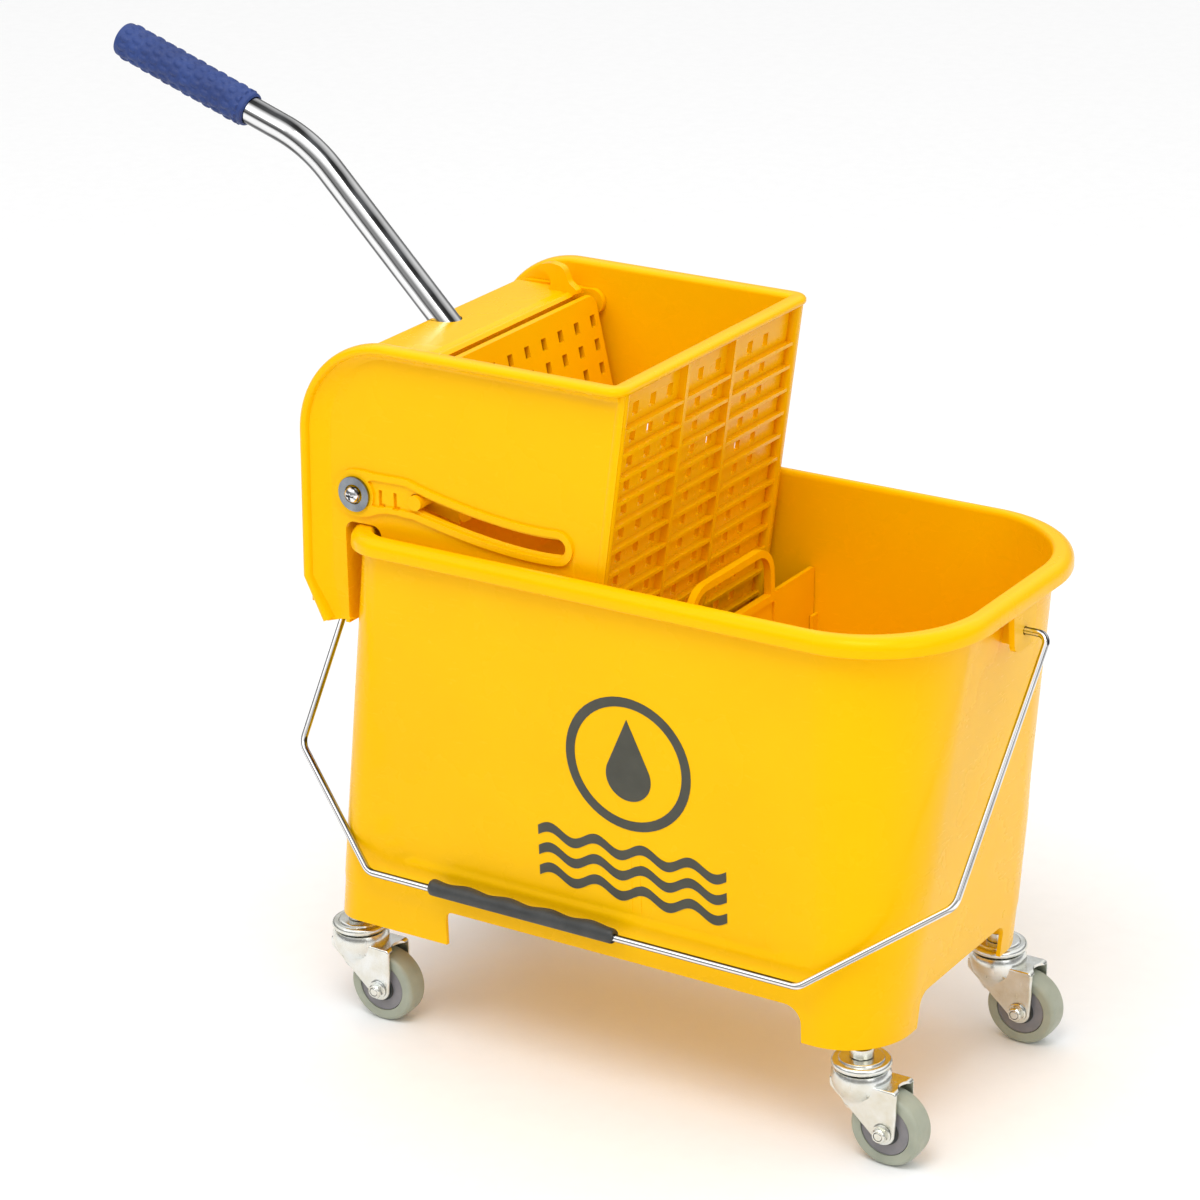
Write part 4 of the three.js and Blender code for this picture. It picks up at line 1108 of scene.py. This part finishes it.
def make_hinge_rod():
    return soften(cross_rod(HINGE.x, HINGE.z, -HEAD_HALF, HEAD_HALF, 2.5), 0.5)


def make_pivot_screw(side):
    r, seat = 5.6, WASHER["out"] + 0.3
    dome = [(3, CHEEK_IN - 18), (3, WASHER["in"]), (4.2, WASHER["in"]), (4.2, seat), (r - 0.3, seat),
            (r, seat + 0.4), *oval((0, seat + 0.4), r, 4, 8, 84, 7)]
    screw = lathe(dome, (PIVOT.x, 0, PIVOT.z), (0, side, 0), segments=48)
    deep, high, reach = seat + 2.2, seat + 8, 2.9
    slots = [block(-0.7, 0.7, deep, high, -reach, reach), block(-reach, reach, deep, high, -0.7, 0.7)]
    pivot = Matrix.Translation((PIVOT.x, 0, PIVOT.z))
    for slot in slots:
        slot.data.transform(pivot @ Matrix.Scale(side, 4, (0, 1, 0)))
        if side < 0:
            slot.data.flip_normals()
    return soften(cut(screw, *slots), 0.25)


def make_washer(side):
    low, high, r = WASHER["in"], WASHER["out"], WASHER["r"]
    profile = [(6.5, low), (r, low), (r, high), (6.5, high)]
    return soften(lathe(profile, (PIVOT.x, 0, PIVOT.z), (0, side, 0), segments=64, closed=True), 0.35)


# ---------- bail handle ----------
def hung(obj):
    """From hanging straight down from its pivot line to its resting slant in front of the tub."""
    pivot = Matrix.Translation((0, 0, BAIL_PIVOT.z))
    obj.data.transform(pivot @ Matrix.Rotation(-BAIL_HANG, 4, "X"))
    return obj


def make_bail_wire():
    corners = [(-180, 0), (-231, 0), (-240, -BAIL_SHOULDER), (-162, -BAIL_REACH), (164, -BAIL_REACH),
               (253, -BAIL_SHOULDER), (268, 0), (245, 0)]
    points = [Vector((x, 0, z)) for x, z in corners]
    radii = [6, 12, 12, 12, 12, 6]
    path = [points[0]]
    for i, radius in enumerate(radii):
        before = path[-1]
        path += bent([before, points[i + 1], points[i + 2]], radius, 8)[1:-1]
    path.append(points[-1])
    return hung(soften(sweep(path, circle(BAIL_R, 24)), 0.4, planar=False))


def make_bail_grip():
    """A matt sleeve with finger waves on its upper side; the wire shows along its underside."""
    x0, x1 = -112, 30
    rows, turns = 120, 36
    rings = []
    for i in range(rows + 1):
        x = x0 + (x1 - x0) * i / rows
        end = min(x - x0, x1 - x)
        cap = 3.5
        fall = 1 - math.sqrt(max(1 - (max(cap - end, 0) / cap) ** 2, 0.05))
        wave = 0.5 - 0.5 * math.cos(2 * math.pi * (x - x0) / ((x1 - x0) / 4.5) + 0.6)
        ring = []
        for k in range(turns):
            a = 2 * math.pi * k / turns
            up = max(math.sin(a), 0)
            r = 6.0 - 1.6 * wave * up ** 2 - 1.8 * fall
            ring.append((x, r * math.cos(a) * 0.95, -BAIL_REACH + 1.4 + r * math.sin(a)))
        rings.append(ring)
    sleeve = loft(rings)
    bore = rod((x0 - 3, 0, -BAIL_REACH), (x1 + 3, 0, -BAIL_REACH), BAIL_R + 0.2, segments=24)
    gap = block(x0 - 3, x1 + 3, -1.7, 1.7, -BAIL_REACH - 9, -BAIL_REACH)
    return hung(cut(sleeve, bore, gap))


# ---------- casters ----------
def fork_outline():
    return (rounded([(TRAIL + 9.5, 38, 0), (TRAIL + 9.5, 55.6, 3), (-21, 55.6, 0), (-21, 49, 0)])
            + [(TRAIL - 8.1, AXLE_Z - 3)]
            + arc((TRAIL, AXLE_Z), 8.5, 204, 360, 16))


def make_fork():
    outline = fork_outline()
    channel = slab([p if p[0] > 3 - RACE_R else (3 - RACE_R, p[1]) for p in outline], -FORK_OUT, FORK_OUT)
    channel = soften(channel, 1.4, 3)
    cup = lathe([(FORK_OUT - 0.5, 36), (FORK_OUT + 0.6, 40), (15, 44), (17.6, 47.5), (RACE_R - 0.6, 51),
                 (RACE_R, 54.5), (RACE_R - 0.3, 58.5), (RACE_R - 1.6, 61), (RACE_R - 3.4, 62)],
                (0, 0, 0), UP, segments=72)
    side_view = [(TRAIL + 20, 70), (-40, 70), (-40, 49), (-RACE_R, 49), (TRAIL - 8.1, AXLE_Z - 3),
                 (TRAIL + 20, AXLE_Z - 3)]
    cup = common(cup, slab(side_view, -40, 40))
    inner = block(-60, 60, -FORK_IN, FORK_IN, 0, 53.6)
    mouth = rod((TRAIL + 15, 0, 50), (TRAIL + 15, 0, 60), 9.5, segments=48)
    king = rod((0, 0, 50), (0, 0, 70), 5.2)
    axle = cross_rod(TRAIL, AXLE_Z, -20, 20, 4)
    return soften(cut(join(channel, cup), inner, mouth, king, axle), 0.35)


def make_raceway():
    profile = [(4.3, 62.3), (RACE_R - 2, 62.3), *arc((RACE_R - 2.6, 65), 2.6, -75, 75, 8),
               (RACE_R - 4.4, 67.2), (RACE_R - 5, 68.4), (RACE_R - 6, 68.9), (4.3, 68.9)]
    return soften(lathe(profile, (0, 0, 0), UP, segments=72, closed=True), 0.2)


def make_stem():
    profile = [(4, 57), (4, 69.2), (8, 69.2), (8, 75.5), (5.5, 75.5), (5.5, 104), (4.5, 105.5)]
    return soften(lathe(profile, (0, 0, 0), UP, segments=40), 0.4)


def on_axle(profile, segments, side=1, closed=False):
    """A profile turned about the wheel's axle, towards the back, or the front with side -1."""
    return lathe(profile, (TRAIL, 0, AXLE_Z), (0, side, 0), segments, closed)


def make_tyre():
    r, w = AXLE_Z, 9
    profile = [(17.2, -w + 0.4), (18.4, -w + 0.1), (r - 3.4, -w),
               *oval((r - 3.2, -w + 3.2), 2.9, 3.2, -80, 0, 7), (r, 0),
               *oval((r - 3.2, w - 3.2), 2.9, 3.2, 0, 80, 7), (r - 3.4, w), (18.4, w - 0.1),
               (17.2, w - 0.4)]
    return on_axle(profile, 96, closed=True)


def make_core():
    w = 8.2
    profile = [(7.3, -w), (9, -w), (9.4, -w + 0.5), (16.4, -w + 0.5), (16.8, -w),
               (16.8, w), (16.4, w - 0.5), (9.4, w - 0.5), (9, w), (7.3, w)]
    return soften(on_axle(profile, 72, closed=True), 0.15)


def make_bush():
    w = FORK_IN - 0.3
    profile = [(3.3, -w), (5, -w), (9.6, -w + 1.2), (9.8, -w + 2), (6.9, -w + 2.2),
               (6.9, w - 2.2), (9.8, w - 2), (9.6, w - 1.2), (5, w), (3.3, w)]
    return soften(on_axle(profile, 64, closed=True), 0.15)


def make_axle_bolt():
    shank = on_axle([(2.4, -18.2), (3, -17.6), (3, FORK_OUT + 0.3)], 32)
    head = lathe([(5.6, 0), (5.6, 3.7)], (TRAIL, FORK_OUT + 0.3, AXLE_Z), (0, 1, 0), segments=6)
    return soften(join(shank, head), 0.4)


def make_axle_nut():
    """A flanged lock nut with its nylon ring's dome."""
    start = FORK_OUT + 0.3
    hexagon = on_axle([(5.6, start), (5.6, start + 3.6)], 6, -1)
    dome = on_axle([(4.7, start + 3), (4.7, start + 4.2), (4.0, start + 5)], 40, -1)
    flange = on_axle([(6.6, start), (6.6, start + 0.7), (5.8, start + 1.2)], 40, -1)
    bore = cross_rod(TRAIL, AXLE_Z, -40, 0, 3.15)
    return soften(cut(join(hexagon, dome, flange), bore), 0.3)


def make_lock_ring():
    start = FORK_OUT + 4.2
    profile = [(3.15, start), (3.9, start), (3.9, start + 0.9), (3.15, start + 0.9)]
    return on_axle(profile, 40, -1, closed=True)


# ---------- printed emblem ----------
def front_y(z):
    """The front wall's outer face, after its shallow recess."""
    return panel_depth(z) - wall_at(z)["half"] - 0.12


def print_shape(outline, hole=None):
    """A flat printed mark on the front wall, with a thickness of ink."""
    ink = 0.25
    shape = slab(outline, -200, 0)
    if hole:
        shape = cut(shape, slab(hole, -210, 10))
    skin = []
    for y_off in (-ink, 0.6):
        skin.append([(-200, front_y(60) + y_off, 60), (200, front_y(60) + y_off, 60),
                     (200, front_y(340) + y_off, 340), (-200, front_y(340) + y_off, 340)])
    return common(shape, loft(skin))


def ring_mark(centre, outer, inner):
    return print_shape(arc(centre, outer, 0, 354, 59), arc(centre, inner, 0, 354, 59))


def drop_mark(centre, radius, height):
    """A water drop: a round bottom drawn up to a point."""
    x, z = centre
    half = math.degrees(math.acos(radius / height))
    return print_shape(arc((x, z), radius, 90 + half, 450 - half, 40) + [(x, z + height)])


def wave_mark(x0, x1, z, swing, waves, half):
    xs = np.linspace(x0, x1, 24 * waves)
    line = [(x, z + swing * math.sin(2 * math.pi * waves * (x - x0) / (x1 - x0))) for x in xs]
    upper = [(x, h + half) for x, h in line]
    lower = [(x, h - half) for x, h in reversed(line)]
    return print_shape(upper + lower)


def make_prints():
    x, z = EMBLEM
    waves = [wave_mark(x - 70, x + 70, level, 3.6, 4, 3.4) for level in WAVE_HEIGHTS]
    return [ring_mark(EMBLEM, 46, 39.5), drop_mark((x, z - 9), 16.5, 40), *waves]


# ---------- the whole bucket ----------
def build_all():
    settle(make_tub(), "tub_shell", "tub", ["tub"], YELLOW)
    settle(make_wringer(), "wringer_shell", "wringer", ["wringer_basket"], YELLOW)
    settle(make_divider(), "divider_sheet", "divider", ["divider"], INNER_YELLOW)
    settle(make_lever_tube(), "chrome_lever_tube", "lever", ["lever_tube"], CHROME)
    settle(make_lever_grip(), "blue_grip", "lever", ["lever_grip"], BLUE)
    settle(make_lever_head(), "lever_head_moulding", "lever", ["lever_head"], YELLOW)
    settle(make_tube_bolt(), "tube_bolt_and_nut", "lever", ["tube_bolt"], ZINC)
    settle(make_hinge_rod(), "plate_hinge_rod", "lever", ["hinge_rod"], ZINC)
    for side, name in ((-1, "front"), (1, "back")):
        screw, washer = f"pivot_screw_{name}", f"pivot_washer_{name}"
        settle(make_pivot_screw(side), f"dome_screw_{name}", "lever", [screw], CHROME)
        settle(make_washer(side), f"washer_{name}", "lever", [washer], STEEL)
    settle(make_press_plate(), "perforated_press_plate", "press_plate", ["press_plate"],
           INNER_YELLOW)
    settle(make_bail_wire(), "bail_handle_wire", "bail", ["bail_wire"], CHROME)
    settle(make_bail_grip(), "bail_handle_grip", "bail", ["bail_grip"], DARK)
    for number, mark in enumerate(make_prints()):
        settle(mark, f"print_mark_{number}", "tub", [], PRINT)


CASTER_PARTS = [
    ("stem", make_stem, "tub", "zinc", ZINC),
    ("raceway", make_raceway, "tub", "zinc", ZINC),
    ("fork", make_fork, "caster", "zinc", ZINC),
    ("tyre", make_tyre, "wheel", "tyre", TYRE),
    ("wheel_core", make_core, "wheel", "grey_plastic", GREY),
    ("bush", make_bush, "wheel", "black_plastic", BLACK),
    ("axle_bolt", make_axle_bolt, "wheel", "zinc", ZINC),
    ("axle_nut", make_axle_nut, "wheel", "zinc", ZINC),
    ("lock_ring", make_lock_ring, "wheel", None, BLUE)]


def build_casters():
    """Each caster part is made once and copied to the four stems."""
    for part, make, body, slot, material in CASTER_PARTS:
        master = make()
        for tag in TAGS:
            copy = master.copy()
            copy.data = master.data.copy()
            bpy.context.scene.collection.objects.link(copy)
            stem = from_frame(JOINT[f"swivel_{tag}"])
            copy.data.transform(Matrix.Translation((stem.x, stem.y, 0)))
            rides = body if body == "tub" else f"{body}_{tag}"
            nodes = [] if part == "lock_ring" else [f"{part}_{tag}"]
            settle(copy, f"{part}_shape_{tag}", rides, nodes, material)
        bpy.data.objects.remove(master)


build_all()
build_casters()


# ---------- floor, light and camera ----------
def area_light(name, place, target, size, power):
    data = bpy.data.lights.new(name, "AREA")
    data.shape = "RECTANGLE"
    data.size, data.size_y = size
    data.energy = power
    obj = bpy.data.objects.new(name, data)
    obj.location = place
    obj.rotation_mode = "QUATERNION"
    obj.rotation_quaternion = (Vector(target) - Vector(place)).to_track_quat("-Z", "Y")
    bpy.context.scene.collection.objects.link(obj)


def sky():
    """A bright overhead sky with a darker belt near the horizon, which the plated parts mirror."""
    world = bpy.data.worlds.new("studio")
    bpy.context.scene.world = world
    world.use_nodes = True
    tree = world.node_tree
    tree.nodes["Background"].inputs["Color"].default_value = (1, 1, 1, 1)
    coordinates = tree.nodes.new("ShaderNodeTexCoord")
    parts = tree.nodes.new("ShaderNodeSeparateXYZ")
    belt = tree.nodes.new("ShaderNodeMapRange")
    belt.interpolation_type = "SMOOTHSTEP"
    belt.inputs["From Min"].default_value = 0.3
    belt.inputs["From Max"].default_value = 0.6
    belt.inputs["To Min"].default_value = 0.3
    belt.inputs["To Max"].default_value = 1.16
    tree.links.new(coordinates.outputs["Generated"], parts.inputs["Vector"])
    tree.links.new(parts.outputs["Z"], belt.inputs["Value"])
    tree.links.new(belt.outputs["Result"], tree.nodes["Background"].inputs["Strength"])


def studio():
    floor = new_object([(-9, -9, 0), (9, -9, 0), (9, 9, 0), (-9, 9, 0)], [(0, 1, 2, 3)], "floor")
    look = soft_polymer("floor_paint", (0.95, 0.95, 0.95), (0.93, 0.93, 0.93), 0.75, 0.85, 300, 0.0001)
    floor.data.materials.append(look)
    area_light("key", (-1.6, -2.2, 2.4), (0, 0, 0.25), (1.4, 1.4), 5)
    area_light("fill", (2.6, -1.2, 1.6), (0, 0, 0.25), (1.4, 1.8), 9)
    area_light("top", (0.5, -1.3, 2.6), (0.1, 0, 0.25), (1.2, 1.2), 24)


def camera():
    data = bpy.data.cameras.new("camera")
    data.sensor_width = 36
    data.lens = 115.06
    obj = bpy.data.objects.new("camera", data)
    azimuth, elevation, roll = (math.radians(a) for a in (32.52, 21.42, -0.85))
    back = Vector((math.sin(azimuth) * math.cos(elevation), -math.cos(azimuth) * math.cos(elevation),
                   math.sin(elevation)))
    right = Vector((0, 0, 1)).cross(back).normalized()
    up = back.cross(right)
    r2 = right * math.cos(roll) + up * math.sin(roll)
    u2 = up * math.cos(roll) - right * math.sin(roll)
    turn = Matrix((r2, u2, back)).transposed().to_4x4()
    obj.matrix_world = Matrix.Translation(Vector((1206.23, -1981.85, 1215.95)) * MM + MIDDLE) @ turn
    bpy.context.scene.collection.objects.link(obj)
    bpy.context.scene.camera = obj


sky()
studio()
camera()
bpy.context.scene.view_settings.view_transform = "Standard"
